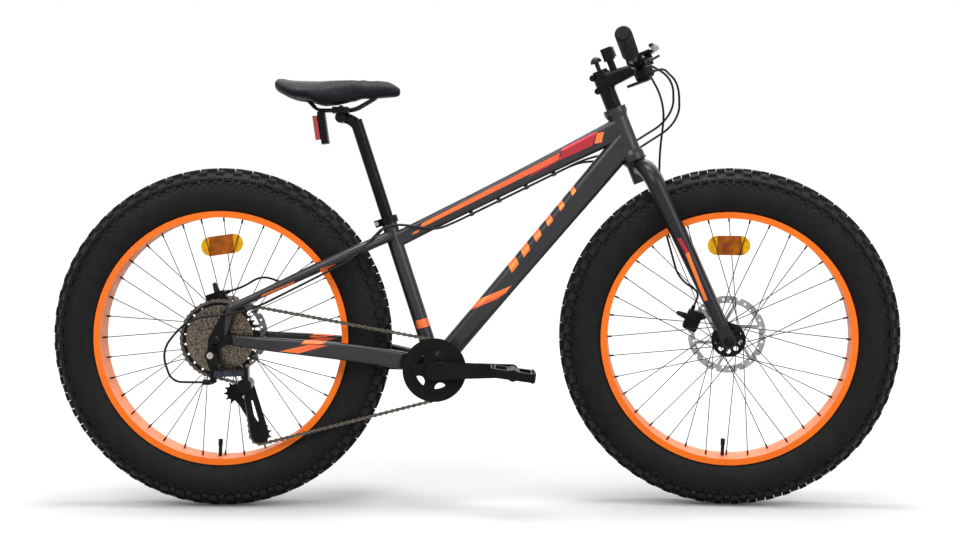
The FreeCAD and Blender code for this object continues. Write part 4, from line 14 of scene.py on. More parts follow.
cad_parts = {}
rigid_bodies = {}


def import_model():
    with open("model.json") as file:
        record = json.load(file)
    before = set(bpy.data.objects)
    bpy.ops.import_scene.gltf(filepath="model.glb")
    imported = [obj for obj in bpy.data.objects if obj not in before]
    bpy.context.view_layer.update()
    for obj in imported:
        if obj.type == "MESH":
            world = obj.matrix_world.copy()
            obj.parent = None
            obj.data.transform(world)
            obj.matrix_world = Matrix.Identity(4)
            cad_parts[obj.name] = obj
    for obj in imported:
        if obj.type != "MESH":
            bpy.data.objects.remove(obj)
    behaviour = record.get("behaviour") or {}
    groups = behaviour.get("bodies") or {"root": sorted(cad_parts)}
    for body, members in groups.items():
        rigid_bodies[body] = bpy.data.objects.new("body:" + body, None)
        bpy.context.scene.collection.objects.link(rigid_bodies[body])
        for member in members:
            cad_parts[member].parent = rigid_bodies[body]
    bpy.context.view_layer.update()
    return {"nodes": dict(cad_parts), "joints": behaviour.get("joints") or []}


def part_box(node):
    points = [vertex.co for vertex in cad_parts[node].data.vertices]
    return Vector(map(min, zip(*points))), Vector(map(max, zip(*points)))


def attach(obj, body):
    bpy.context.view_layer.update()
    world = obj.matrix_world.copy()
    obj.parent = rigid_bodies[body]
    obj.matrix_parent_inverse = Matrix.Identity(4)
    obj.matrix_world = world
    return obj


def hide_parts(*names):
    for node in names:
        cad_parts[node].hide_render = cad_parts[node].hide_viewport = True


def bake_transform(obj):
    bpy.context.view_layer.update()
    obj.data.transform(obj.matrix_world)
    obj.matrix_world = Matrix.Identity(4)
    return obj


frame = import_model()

log = logging.getLogger("fat_tire_bike")

Colour = tuple[float, float, float]
Point = tuple[float, float, float]
Flat = tuple[float, float]
Feed = dict[object, object]

WHITE = (1.0, 1.0, 1.0, 1.0)
NO_VECTOR: Point = (0.0, 0.0, 0.0)
# Colour sockets of a mix node, by number.
MIX_FIRST, MIX_SECOND, MIX_RESULT = 6, 7, 2
# Digits to which two corners of a mesh count as one point, in metres.
SAME_POINT = 6
# A solid narrower than this is a bolt or another small piece.
SMALL_SOLID = 0.012
# How near to the end of a node's box the outermost solid has to reach.
END_SLACK = 0.0005
# Keeps a length of nothing from being divided by.
TINY = 1e-9
# Rounded edges of the tread nubs: width as a share of the nub, steps and profile.
BEVEL_SHARE = 0.18
BEVEL_STEPS = 2
BEVEL_PROFILE = 0.6
# Parts of the noise over which a colour and a roughness drift, and the scale of the second.
DRIFT_BAND: Flat = (0.35, 0.7)
ROUGH_BAND: Flat = (0.3, 0.7)
ROUGH_SCALE = 3.0
LEAST_ROUGH = 0.04
COAT_ROUGH = 0.2
BUMP_STRENGTH = 0.6
# The fine surface: ribs in one wave, stretch of brushed metal and octaves of the noise.
RIB_SHARE = 6.0
BRUSH: Point = (0.2, 1.0, 1.0)
FINE_DETAIL = 2.0


class WheelEnd(Enum):
    """The two wheels, by the prefix of their nodes."""

    FRONT = "front"
    REAR = "rear"


class Grain(Enum):
    """How the fine surface of a finish is made."""

    NOISE = "noise"
    BRUSHED = "brushed"
    CELLS = "cells"
    RIBS = "ribs"


@dataclass(frozen=True)
class Finish:
    """One surface finish.

    Args:
        name: Material name.
        colour: Main linear colour.
        shade: Second colour that the main one drifts to.
        roughness: Middle roughness.
        metallic: Metal share.
        drift: Scale of the colour drift, per metre.
        grain: Kind of fine surface.
        fine: Scale of the fine surface, per metre.
        bump: Depth of the fine surface, metres.
        spread: How far the roughness drifts.
        coat: Clear coat weight.
        specular: Strength of the plain reflection.
    """

    name: str
    colour: Colour
    shade: Colour
    roughness: float
    metallic: float = 0.0
    drift: float = 25.0
    grain: Grain = Grain.NOISE
    fine: float = 900.0
    bump: float = 0.00008
    spread: float = 0.1
    coat: float = 0.0
    specular: float = 0.5


@dataclass(frozen=True)
class Rings:
    """Fine raised rings about an axle.

    Args:
        centre: A point on the axle.
        axle: Its direction.
        step: Distance between rings.
        low: Radius where the rings start.
        high: Radius where they end.
    """

    centre: Point
    axle: Point
    step: float
    low: float
    high: float


@dataclass(frozen=True)
class TreadRow:
    """One ring of small tread nubs on a tyre's shoulder.

    Args:
        count: Nubs round the tyre.
        radius: Radius of the nubs' middles.
        out: Distance of their middles from the wheel's middle plane.
        lean_deg: How far they lean to the side.
        size: Nub lengths outward, round and across.
        shift: Turn past an edge knob, as a share of the knobs' pitch.
    """

    count: int
    radius: float
    out: float
    lean_deg: float
    size: Point
    shift: float


@dataclass(frozen=True)
class Decal:
    """A flat colour patch seen from the side.

    Args:
        corners: Convex outline as (x, z) points in metres.
        colour: Linear colour of the patch.
        fade: Colour at the far end of the patch, or None for one colour.
    """

    corners: tuple[Flat, ...]
    colour: Colour
    fade: Optional[Colour] = None


@dataclass(frozen=True)
class Lamp:
    """One soft area light aimed at the bike.

    Args:
        name: Light name.
        at: Its place.
        size: Side of the light.
        power: Watts.
    """

    name: str
    at: Point
    size: float
    power: float


ORANGE: Colour = (0.88, 0.2, 0.045)
CORAL: Colour = (0.78, 0.11, 0.05)
CRIMSON: Colour = (0.42, 0.028, 0.04)

PAINT = Finish(
    "frame_paint", (0.031, 0.03, 0.033), (0.024, 0.0233, 0.026), 0.36, 0.5, 9.0,
    fine=2600.0, bump=0.00002, coat=0.1, specular=0.3,
)
# The frame paint made darker for the fork: painted shade, as the fork faces away from the light.
FORK_PAINT_SHADED = Finish(
    "fork_paint", (0.019, 0.0186, 0.0206), (0.0145, 0.0142, 0.016), 0.34, 0.5, 9.0,
    fine=2600.0, bump=0.00002, coat=0.1, specular=0.2,
)
BLACK = Finish(
    "black_alloy", (0.0075, 0.0075, 0.008), (0.004, 0.004, 0.0045), 0.34, 0.5, 30.0,
    fine=1500.0, bump=0.00003, specular=0.15,
)
GLOSS = Finish(
    "black_gloss", (0.008, 0.008, 0.009), (0.005, 0.005, 0.006), 0.22, 0.4, 20.0,
    fine=800.0, bump=0.00002, coat=0.3, specular=0.2,
)
BLUED = Finish(
    "blued_alloy", (0.024, 0.029, 0.044), (0.005, 0.0065, 0.01), 0.16, 0.85, 60.0,
    fine=500.0, bump=0.00002, coat=0.12,
)
SILVER = Finish(
    "bright_steel", (0.38, 0.375, 0.365), (0.27, 0.265, 0.255), 0.34, 0.75, 60.0,
    Grain.BRUSHED, 1400.0, 0.00003,
)
# Cassette steel, drifting in small spots between bright bronze and near black: painted glints and
# painted shade.
BRONZE_PAINTED_GLINTS = Finish(
    "bronze_steel", (0.19, 0.155, 0.12), (0.004, 0.0034, 0.0027), 0.26, 0.95, 300.0,
    Grain.BRUSHED, 1800.0, 0.00008, 0.16,
)
LINK = Finish(
    "chain_steel", (0.13, 0.112, 0.09), (0.03, 0.026, 0.022), 0.3, 0.9, 260.0,
    Grain.BRUSHED, 1800.0, 0.00004, 0.14,
)
RIM = Finish(
    "rim_orange", (1.0, 0.185, 0.002), (0.95, 0.165, 0.002), 0.42, 0.0, 12.0,
    fine=1800.0, bump=0.00002, coat=0.15, specular=0.35,
)
# Paler orange for the rim's inner face: painted light, standing in for the light that falls on that
# face.
RIM_INNER_PAINTED_LIGHT = Finish(
    "rim_inner", (0.86, 0.26, 0.09), (0.8, 0.22, 0.07), 0.5, 0.0, 12.0,
    fine=1800.0, bump=0.00002,
)
RUBBER = Finish(
    "tyre_rubber", (0.0085, 0.0086, 0.0085), (0.0048, 0.0048, 0.005), 0.62, 0.0, 35.0,
    fine=700.0, bump=0.0002, specular=0.13,
)
GRIP = Finish(
    "grip_rubber", (0.009, 0.009, 0.01), (0.0055, 0.0055, 0.0062), 0.66, 0.0, 60.0,
    Grain.CELLS, 700.0, 0.0003, specular=0.13,
)
PLASTIC = Finish(
    "moulded_plastic", (0.0062, 0.0062, 0.0068), (0.004, 0.004, 0.0046), 0.42, 0.0, 50.0,
    Grain.CELLS, 2200.0, 0.00006, specular=0.08,
)
COVER = Finish(
    "saddle_cover", (0.0065, 0.0072, 0.0095), (0.0046, 0.005, 0.0068), 0.5, 0.0, 40.0,
    Grain.CELLS, 900.0, 0.00012, 0.08, specular=0.12,
)
HOUSING = Finish(
    "cable_housing", (0.008, 0.008, 0.009), (0.0045, 0.0045, 0.0052), 0.38, 0.0, 90.0,
    fine=1200.0, bump=0.00003, specular=0.15,
)
AMBER = Finish(
    "reflector_ends", (0.9, 0.5, 0.006), (0.75, 0.33, 0.004), 0.3, 0.0, 90.0,
    Grain.CELLS, 420.0, 0.0003, specular=0.2,
)
AMBER_CORE = Finish(
    "reflector_core", (0.48, 0.125, 0.003), (0.2, 0.04, 0.001), 0.3, 0.0, 60.0,
    Grain.RIBS, 110.0, 0.0006, specular=0.2,
)
RED_LENS = Finish(
    "tail_lens", (0.5, 0.01, 0.01), (0.25, 0.004, 0.004), 0.14, 0.0, 90.0,
    Grain.CELLS, 500.0, 0.0003, coat=0.8,
)
CLEAR_LENS = Finish(
    "lamp_lens", (0.05, 0.052, 0.052), (0.03, 0.031, 0.031), 0.12, 0.0, 90.0,
    Grain.CELLS, 300.0, 0.0003, coat=0.2,
)
OLIVE = Finish(
    "bell_dome", (0.017, 0.0165, 0.011), (0.01, 0.01, 0.007), 0.34, 0.2, 40.0,
    bump=0.00003, specular=0.15,
)


class NodeKit:
    """Adds, feeds and links the nodes of one tree."""

    def __init__(self, tree: NodeTree) -> None:
        """Empty the tree."""
        self.tree = tree
        tree.nodes.clear()

    def feed(self, node: Node, values: Feed) -> None:
        """Link or set the inputs of a node.

        Args:
            node: Node to feed.
            values: A socket or a plain value for each input, by name or number.
        """
        for key, value in values.items():
            if isinstance(value, NodeSocket):
                self.tree.links.new(value, node.inputs[key])
            else:
                node.inputs[key].default_value = value

    def add(self, kind: str, values: Optional[Feed] = None, **settings: object) -> Node:
        """Add a node.

        Args:
            kind: Node type.
            values: What its inputs get.
            settings: Properties to set on it.

        Returns:
            The new node.
        """
        made = self.tree.nodes.new(kind)
        for key, value in settings.items():
            setattr(made, key, value)
        self.feed(made, values or {})
        return made

    def math(self, kind: str, first: object, second: object) -> NodeSocket:
        """One sum on sockets or numbers."""
        return self.add("ShaderNodeMath", {0: first, 1: second}, operation=kind).outputs[0]

    def vector(self, kind: str, first: NodeSocket, second: object = NO_VECTOR) -> NodeOutputs:
        """One sum on vectors."""
        return self.add("ShaderNodeVectorMath", {0: first, 1: second}, operation=kind).outputs

    def mix(self, factor: NodeSocket, first: object, second: object) -> NodeSocket:
        """Mix two colours.

        Args:
            factor: Share of the second colour.
            first: Colour or socket.
            second: Colour or socket.

        Returns:
            The mixed colour socket.
        """
        ends = [(*c, 1.0) if isinstance(c, tuple) else c for c in (first, second)]
        values = {0: factor, MIX_FIRST: ends[0], MIX_SECOND: ends[1]}
        return self.add("ShaderNodeMix", values, data_type="RGBA").outputs[MIX_RESULT]

    def ramp(
        self, factor: NodeSocket, low: float, high: float,
        out_low: float = 0.0, out_high: float = 1.0,
    ) -> NodeSocket:
        """Map a range of a socket to another range."""
        ends = {"From Min": low, "From Max": high, "To Min": out_low, "To Max": out_high}
        return self.add("ShaderNodeMapRange", {"Value": factor, **ends}).outputs[0]

    def seen(self) -> NodeSocket:
        """Mask of what the camera sees directly, mirrored or through glass.

        Returns:
            A socket that is 1 for those rays and 0 for the rest.
        """
        path = self.add("ShaderNodeLightPath").outputs
        mask = path["Is Camera Ray"]
        for name in ("Is Glossy Ray", "Is Transmission Ray"):
            mask = self.math("MAXIMUM", mask, path[name])
        return mask


class Shader(NodeKit):
    """One procedural material on object coordinates."""

    def __init__(self, name: str) -> None:
        """Start a material with a plain surface.

        Args:
            name: Material name.
        """
        self.material = bpy.data.materials.new(name)
        self.material.use_nodes = True
        super().__init__(self.material.node_tree)
        self.surface = self.add("ShaderNodeBsdfPrincipled")
        self.add("ShaderNodeOutputMaterial", {0: self.surface.outputs[0]})
        self.place = self.add("ShaderNodeTexCoord").outputs["Object"]

    def noise(self, scale: float, detail: float = 3.0) -> NodeSocket:
        """Soft noise on object coordinates."""
        values = {"Scale": scale, "Detail": detail, "Vector": self.place}
        return self.add("ShaderNodeTexNoise", values).outputs[0]

    def along(self, way: Sequence[float]) -> NodeSocket:
        """Distance along a direction."""
        return self.vector("DOT_PRODUCT", self.place, tuple(way))["Value"]

    def rings(self, rings: Rings) -> NodeSocket:
        """Height of fine rings about an axle.

        Args:
            rings: Where they lie.

        Returns:
            The height socket.
        """
        offset = self.vector("SUBTRACT", self.place, rings.centre)[0]
        across = self.vector("CROSS_PRODUCT", offset, rings.axle)[0]
        radius = self.vector("LENGTH", across)["Value"]
        wave = self.math("SINE", self.math("MULTIPLY", radius, 2 * math.pi / rings.step), 0.0)
        inside = self.math("GREATER_THAN", radius, rings.low)
        within = self.math("LESS_THAN", radius, rings.high)
        return self.math("MULTIPLY", wave, self.math("MULTIPLY", inside, within))

    def patch(self, corners: Sequence[Flat]) -> NodeSocket:
        """Mask of a convex outline seen from the side.

        Args:
            corners: Outline as (x, z) points.

        Returns:
            A socket that is 1 inside and 0 outside.
        """
        middle = [sum(p[k] for p in corners) / len(corners) for k in (0, 1)]
        mask = None
        for (x1, z1), (x2, z2) in zip(corners, (*corners[1:], corners[0])):
            normal = Vector((z1 - z2, 0.0, x2 - x1)).normalized()
            if normal.x * (middle[0] - x1) + normal.z * (middle[1] - z1) < 0:
                normal.negate()
            border = normal.x * x1 + normal.z * z1
            inside = self.math("GREATER_THAN", self.along(normal), border)
            mask = inside if mask is None else self.math("MULTIPLY", mask, inside)
        return mask


class Palette:
    """Makes each finish once and puts finishes on the frame's nodes."""

    def __init__(self) -> None:
        """Start with no materials."""
        self.made: dict[tuple, Material] = {}

    def material(
        self, finish: Finish, decals: Sequence[Decal] = (), rings: Optional[Rings] = None
    ) -> Material:
        """The material of a finish with its decals.

        Args:
            finish: Surface finish.
            decals: Colour patches on it.
            rings: Fine rings on it, or None.

        Returns:
            A cached material.
        """
        key = (finish.name, tuple(decals), rings)
        if key in self.made:
            return self.made[key]
        shader = Shader(f"{finish.name}_{len(self.made)}")
        drift = shader.ramp(shader.noise(finish.drift), *DRIFT_BAND)
        colour = shader.mix(drift, finish.colour, finish.shade)
        for decal in decals:
            ink: object = decal.colour
            if decal.fade is not None:
                xs = [p[0] for p in decal.corners]
                share = shader.ramp(shader.along((1, 0, 0)), min(xs), max(xs))
                ink = shader.mix(share, decal.colour, decal.fade)
            colour = shader.mix(shader.patch(decal.corners), colour, ink)
        low = max(LEAST_ROUGH, finish.roughness - finish.spread)
        high = finish.roughness + finish.spread
        patchy = shader.noise(finish.drift * ROUGH_SCALE)
        height = self.grain(shader, finish)
        if rings is not None:
            height = shader.math("ADD", height, shader.rings(rings))
        depth = {"Strength": BUMP_STRENGTH, "Distance": finish.bump, "Height": height}
        values = {
            "Base Color": colour,
            "Roughness": shader.ramp(patchy, *ROUGH_BAND, low, high),
            "Metallic": finish.metallic,
            "Coat Weight": finish.coat,
            "Coat Roughness": COAT_ROUGH,
            "Specular IOR Level": finish.specular,
            "Normal": shader.add("ShaderNodeBump", depth).outputs[0],
        }
        shader.feed(shader.surface, values)
        self.made[key] = shader.material
        return shader.material

    @staticmethod
    def grain(shader: Shader, finish: Finish) -> NodeSocket:
        """Height of the fine surface of a finish.

        Args:
            shader: Material under way.
            finish: Surface finish.

        Returns:
            The height socket.
        """
        values = {"Scale": finish.fine, "Vector": shader.place}
        if finish.grain is Grain.CELLS:
            return shader.add("ShaderNodeTexVoronoi", values).outputs["Distance"]
        if finish.grain is Grain.RIBS:
            values["Scale"] = finish.fine / RIB_SHARE
            return shader.add("ShaderNodeTexWave", values, bands_direction="Z").outputs["Fac"]
        if finish.grain is Grain.BRUSHED:
            stretch = {"Scale": BRUSH, "Vector": shader.place}
            values["Vector"] = shader.add("ShaderNodeMapping", stretch).outputs[0]
            return shader.add("ShaderNodeTexNoise", values).outputs[0]
        return shader.noise(finish.fine, FINE_DETAIL)

    def paint(
        self, finish: Finish, *nodes: str,
        decals: Sequence[Decal] = (), rings: Optional[Rings] = None,
    ) -> None:
        """Give whole CAD nodes one finish.

        Args:
            finish: Surface finish.
            nodes: Node names.
            decals: Colour patches on it.
            rings: Fine rings on it, or None.
        """
        for node in nodes:
            mesh = frame["nodes"][node].data
            mesh.materials.clear()
            mesh.materials.append(self.material(finish, decals, rings))

    def paint_where(self, node: str, finish: Finish, test: Callable[[Vector], bool]) -> None:
        """Give part of a CAD node another finish.

        Args:
            node: Node name.
            finish: Surface finish.
            test: Whether a face centre takes the finish.
        """
        mesh = frame["nodes"][node].data
        slot = len(mesh.materials)
        mesh.materials.append(self.material(finish))
        for face in mesh.polygons:
            if test(face.center):
                face.material_index = slot

    def paint_solid(
        self, node: str, finish: Finish, test: Callable[[Vector, Vector], bool]
    ) -> None:
        """Give whole solids of a CAD node another finish.

        Args:
            node: Node name.
            finish: Surface finish.
            test: Whether a solid with these low and high corners takes the finish.
        """
        mesh = frame["nodes"][node].data
        slot = len(mesh.materials)
        mesh.materials.append(self.material(finish))
        for faces, low, high in solids(mesh):
            if test(low, high):
                for index in faces:
                    mesh.polygons[index].material_index = slot


def solids(mesh: Mesh) -> list[tuple[list[int], Vector, Vector]]:
    """Faces and box of each closed solid in a mesh.

    Args:
        mesh: Mesh of one CAD node.

    Returns:
        Face numbers with the low and high corners of each solid.
    """
    spots = [tuple(round(c, SAME_POINT) for c in v.co) for v in mesh.vertices]
    near: dict[tuple[float, ...], list[int]] = {}
    for face in mesh.polygons:
        for index in face.vertices:
            near.setdefault(spots[index], []).append(face.index)
    left = set(range(len(mesh.polygons)))
    found = []
    while left:
        faces = [left.pop()]
        corners = []
        for number in faces:
            for index in mesh.polygons[number].vertices:
                corners.append(mesh.vertices[index].co)
                fresh = left.intersection(near.pop(spots[index], ()))
                left -= fresh
                faces.extend(fresh)
        box = np.array(corners, float)
        found.append((faces, Vector(box.min(0)), Vector(box.max(0))))
    return found


def joint(name: str) -> tuple[Vector, Vector]:
    """Place and axis of a joint."""
    found = next(j for j in frame["joints"] if j["name"] == name)
    return Vector(found.get("pos_m", NO_VECTOR)), Vector(found["axis"]).normalized()


def from_axle(point: Vector, centre: Vector, axle: Vector) -> float:
    """Distance of a point from an axle."""
    return (point - centre).cross(axle).length


def points(mesh: Mesh) -> np.ndarray:
    """Vertex places of a mesh."""
    return np.array([v.co for v in mesh.vertices], float)


def move_points(mesh: Mesh, spots: np.ndarray) -> None:
    """Put the vertices of a mesh at new places."""
    mesh.vertices.foreach_set("co", spots.ravel())
    mesh.update()


def keep(work: bmesh.types.BMesh, name: str) -> Mesh:
    """Turn a work mesh into a plain mesh and free it.

    Args:
        work: Mesh under way.
        name: Mesh name.

    Returns:
        The new mesh.
    """
    mesh = bpy.data.meshes.new(name)
    work.to_mesh(mesh)
    work.free()
    return mesh


def smooth(mesh: Mesh) -> None:
    """Shade a mesh smooth."""
    mesh.polygons.foreach_set("use_smooth", [True] * len(mesh.polygons))


def new_piece(name: str, mesh: Mesh, body: Optional[str] = None) -> Object:
    """Link a finished mesh as a piece.

    Args:
        name: Piece name.
        mesh: Its mesh, in the row frame.
        body: Body it rides on, or None.

    Returns:
        The new object.
    """
    made = bpy.data.objects.new(name, mesh)
    bpy.context.scene.collection.objects.link(made)
    if body is not None:
        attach(made, body)
    return made


class RepeatTree(NodeKit):
    """A node tree that repeats a small piece round a ring or along a line."""

    INPUTS = (
        ("Count", "NodeSocketInt"), ("Reach", "NodeSocketFloat"),
        ("Piece", "NodeSocketObject"), ("Finish", "NodeSocketMaterial"),
    )

    def __init__(self, name: str, ring: bool) -> None:
        """Build the tree.

        Args:
            name: Tree name.
            ring: True for a ring about z, False for a line along z.
        """
        super().__init__(bpy.data.node_groups.new(name, "GeometryNodeTree"))
        face = self.tree.interface
        face.new_socket(name="Geometry", in_out="OUTPUT", socket_type="NodeSocketGeometry")
        self.ids = {
            label: face.new_socket(name=label, in_out="INPUT", socket_type=kind).identifier
            for label, kind in self.INPUTS
        }
        given = self.add("NodeGroupInput").outputs
        piece = self.add("GeometryNodeObjectInfo", {"Object": given["Piece"]})
        spread = {"Instance": piece.outputs["Geometry"]}
        if ring:
            circle = {"Vertices": given["Count"], "Radius": given["Reach"]}
            row = self.add("GeometryNodeMeshCircle", circle)
            out = {"Vector": self.add("GeometryNodeInputPosition").outputs[0]}
            turn = self.add("FunctionNodeAlignRotationToVector", out, axis="X", pivot_axis="Z")
            spread["Rotation"] = turn.outputs[0]
        else:
            step = self.add("ShaderNodeCombineXYZ", {"Z": given["Reach"]})
            line = {"Count": given["Count"], "Offset": step.outputs[0]}
            row = self.add("GeometryNodeMeshLine", line)
        spread["Points"] = row.outputs[0]
        copies = self.add("GeometryNodeInstanceOnPoints", spread)
        real = self.add("GeometryNodeRealizeInstances", {0: copies.outputs[0]})
        finish = {"Geometry": real.outputs[0], "Material": given["Finish"]}
        painted = self.add("GeometryNodeSetMaterial", finish)
        self.add("NodeGroupOutput", {0: painted.outputs[0]})

    def make(
        self, name: str, seed: Mesh, count: int, reach: float,
        finish: Material, place: Matrix, body: str,
    ) -> Object:
        """Run the tree and keep its result as a plain piece.

        Args:
            name: Piece name.
            seed: Mesh that repeats.
            count: How many.
            reach: Ring radius or step of the line.
            finish: Material.
            place: From the tree's frame to the row frame.
            body: Body it rides on.

        Returns:
            The new piece.
        """
        source = bpy.data.objects.new(name + "_seed", seed)
        carrier = bpy.data.objects.new(name + "_carrier", bpy.data.meshes.new(name + "_carrier"))
        for made in (source, carrier):
            bpy.context.scene.collection.objects.link(made)
        modifier = carrier.modifiers.new("repeat", "NODES")
        modifier.node_group = self.tree
        for (label, _), value in zip(self.INPUTS, (count, reach, source, finish)):
            modifier[self.ids[label]] = value
        carrier.update_tag()
        graph = bpy.context.evaluated_depsgraph_get()
        mesh = bpy.data.meshes.new_from_object(carrier.evaluated_get(graph))
        mesh.transform(place)
        for made in (carrier, source):
            bpy.data.objects.remove(made)
        return new_piece(name, mesh, body)


def bevelled_block(name: str, size: Sequence[float], share: float) -> Mesh:
    """A block with rounded edges, narrower at its outer end.

    Args:
        name: Mesh name.
        size: Lengths along x, y and z; x points outward.
        share: Width left at the outer end.

    Returns:
        The new mesh.
    """
    work = bmesh.new()
    bmesh.ops.create_cube(work, size=1.0)
    for v in work.verts:
        taper = share if v.co.x > 0 else 1.0
        v.co = Vector((v.co.x * size[0], v.co.y * size[1] * taper, v.co.z * size[2] * taper))
    bmesh.ops.bevel(
        work, geom=list(work.edges), offset=min(size) * BEVEL_SHARE,
        segments=BEVEL_STEPS, affect="EDGES", profile=BEVEL_PROFILE,
    )
    return keep(work, name)


@dataclass
class Looks:
    """A group of pieces with finishes from one palette.

    Args:
        palette: Finishes.
    """

    palette: Palette


@dataclass
class WheelLooks(Looks):
    """Finishes and small tread of one wheel.

    Args:
        end: Which wheel.
        knobs: Edge knobs round each side of the tyre.
        rows: Small tread between and below the edge knobs.
        nub_top: Width left at the top of a nub.
        edge_from: Half width and radius past which only edge knobs lie.
        line_step: Distance between the fine lines on the sidewall.
        line_band: Radii between which those lines lie.
        rim_inner: Radius under which the rim's inner face lies, which takes the paler orange as
            painted light.
        disc_hub: Radius of the black carrier inside the brake disc.
        disc_out: The brake disc lies farther than this from the wheel's middle plane.
        core_half: Half length of the reflector's ribbed middle.
    """

    end: WheelEnd
    knobs: int = 60
    rows: tuple[TreadRow, ...] = (
        TreadRow(60, 0.3535, 0.0412, 32.0, (0.009, 0.0135, 0.0085), 0.5),
        TreadRow(120, 0.3455, 0.0451, 58.0, (0.0042, 0.0085, 0.0065), 0.25),
        TreadRow(120, 0.338, 0.0474, 70.0, (0.0032, 0.005, 0.005), 0.0),
    )
    nub_top: float = 0.8
    edge_from: Flat = (0.0425, 0.3515)
    line_step: float = 0.0035
    line_band: Flat = (0.286, 0.31)
    rim_inner: float = 0.2692
    disc_hub: float = 0.0245
    disc_out: float = 0.05
    core_half: float = 0.0275

    def dress(self, ring: RepeatTree) -> None:
        """Paint the wheel's nodes and add the small tread.

        Args:
            ring: Ring tree.
        """
        name = self.end.value
        spin = joint(f"{name}_wheel_spin")
        centre, axle = spin
        hub, rim, reflector = (f"{name}_{part}" for part in ("hub", "rim", "reflector"))
        self.palette.paint(BLACK, hub, f"{name}_spokes")
        self.palette.paint_where(
            hub, SILVER,
            lambda p: from_axle(p, *spin) > self.disc_hub
            and abs((p - centre).dot(axle)) > self.disc_out,
        )
        self.palette.paint(RIM, rim)
        # The inner face takes a paler orange as painted light.
        self.palette.paint_where(rim, RIM_INNER_PAINTED_LIGHT, lambda p: from_axle(p, *spin) < self.rim_inner)
        lines = Rings(tuple(centre), tuple(axle), self.line_step, *self.line_band)
        self.palette.paint(RUBBER, f"{name}_tyre", rings=lines)
        self.palette.paint(RUBBER, f"{name}_inner_tube")
        self.palette.paint(AMBER, reflector)
        low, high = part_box(f"{name}_reflector")
        middle = (low + high) / 2
        self.palette.paint_where(
            reflector, AMBER_CORE, lambda p: abs(p.x - middle.x) < self.core_half
        )
        self.tread(ring)

    def place(self) -> Matrix:
        """From a frame with z along the axle to the row frame.

        Returns:
            The placing matrix.
        """
        centre, axle = joint(f"{self.end.value}_wheel_spin")
        side = axle.cross(Vector((0, 0, 1))).normalized()
        up = side.cross(axle)
        turn = Matrix((side, -up, axle)).transposed().to_4x4()
        return Matrix.Translation(centre) @ turn

    def edge_phase(self, side: int) -> float:
        """Angle of the edge knobs on one side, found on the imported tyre.

        Args:
            side: 1 for the axle's positive side, -1 for the other.

        Returns:
            The angle of a knob's middle in the wheel's own frame.
        """
        inverse = self.place().inverted()
        tyre = frame["nodes"][f"{self.end.value}_tyre"].data
        spots = np.array([inverse @ v.co for v in tyre.vertices], float)
        radius = np.hypot(spots[:, 0], spots[:, 1])
        out, low = self.edge_from
        edge = (spots[:, 2] * side > out) & (radius > low)
        angles = np.arctan2(spots[edge, 1], spots[edge, 0]) * self.knobs
        return float(np.angle(np.exp(1j * angles).mean())) / self.knobs

    def tread(self, ring: RepeatTree) -> None:
        """Rings of small nubs on both shoulders.

        Args:
            ring: Ring tree.
        """
        place = self.place()
        pitch = 2 * math.pi / self.knobs
        rubber = self.palette.material(RUBBER)
        for side, label in ((1, "left"), (-1, "right")):
            phase = self.edge_phase(side)
            for number, row in enumerate(self.rows):
                name = f"{self.end.value}_tyre_{label}_nubs_{number}"
                seed = bevelled_block(name, row.size, self.nub_top)
                seed.transform(Matrix.Rotation(math.radians(-side * row.lean_deg), 4, "Y"))
                turn = Matrix.Rotation(phase + row.shift * pitch, 4, "Z")
                lift = Matrix.Translation((0, 0, side * row.out))
                piece = ring.make(
                    name, seed, row.count, row.radius, rubber,
                    place @ lift @ turn, f"{self.end.value}_wheel",
                )


# Stripes by node: colour, colour at the far end or None, and corners as (x, z) points.
STRIPES: dict[str, tuple[tuple, ...]] = {
    "top_tube": (
        (CRIMSON, None, (0.1166, 0.7353), (0.1344, 0.7517), (0.1921, 0.7826), (0.1877, 0.7738)),
        (ORANGE, CORAL, (-0.1253, 0.621), (-0.1188, 0.6335), (0.1877, 0.79), (0.1852, 0.7748)),
        (ORANGE, None, (-0.1433, 0.6077), (-0.1366, 0.6143), (-0.1233, 0.6196), (-0.1299, 0.6119)),
        (CRIMSON, None, (0.1877, 0.7738), (0.1921, 0.7992), (0.2699, 0.8375), (0.2588, 0.8055)),
        (ORANGE, None, (0.2643, 0.8099), (0.2699, 0.8331), (0.2854, 0.8361), (0.2799, 0.8129)),
    ),
    "down_tube": (
        (ORANGE, None, (-0.0266, 0.4336), (-0.0033, 0.4592), (0.08, 0.4947), (0.0678, 0.4792)),
        (CORAL, None, (-0.0211, 0.4359), (0.0167, 0.4581), (0.07, 0.4803), (0.0478, 0.4647)),
    ),
    "seat_tube": (
        (ORANGE, CORAL, (-0.1346, 0.4155), (-0.1068, 0.4222), (-0.1012, 0.4044), (-0.1312, 0.3966)),
    ),
    "chainstays": (
        (ORANGE, CORAL, (-0.3819, 0.3706), (-0.3711, 0.3793), (-0.3213, 0.3771), (-0.3386, 0.3706)),
        (ORANGE, CORAL, (-0.4295, 0.3541), (-0.3624, 0.3697), (-0.3213, 0.3684), (-0.3862, 0.35)),
    ),
    "seatstays": (
        (ORANGE, None, (-0.4699, 0.4718), (-0.4656, 0.4783), (-0.3939, 0.5087), (-0.3983, 0.5022)),
        (ORANGE, CORAL, (-0.3407, 0.5256), (-0.3385, 0.5354), (-0.3058, 0.5452), (-0.308, 0.5365)),
    ),
    "fork_blades": (
        (CRIMSON, None, (0.439, 0.6019), (0.4488, 0.6019), (0.466, 0.5693), (0.4595, 0.565)),
        (ORANGE, None, (0.4573, 0.5682), (0.4649, 0.5715), (0.5064, 0.4671), (0.4999, 0.4638)),
    ),
}


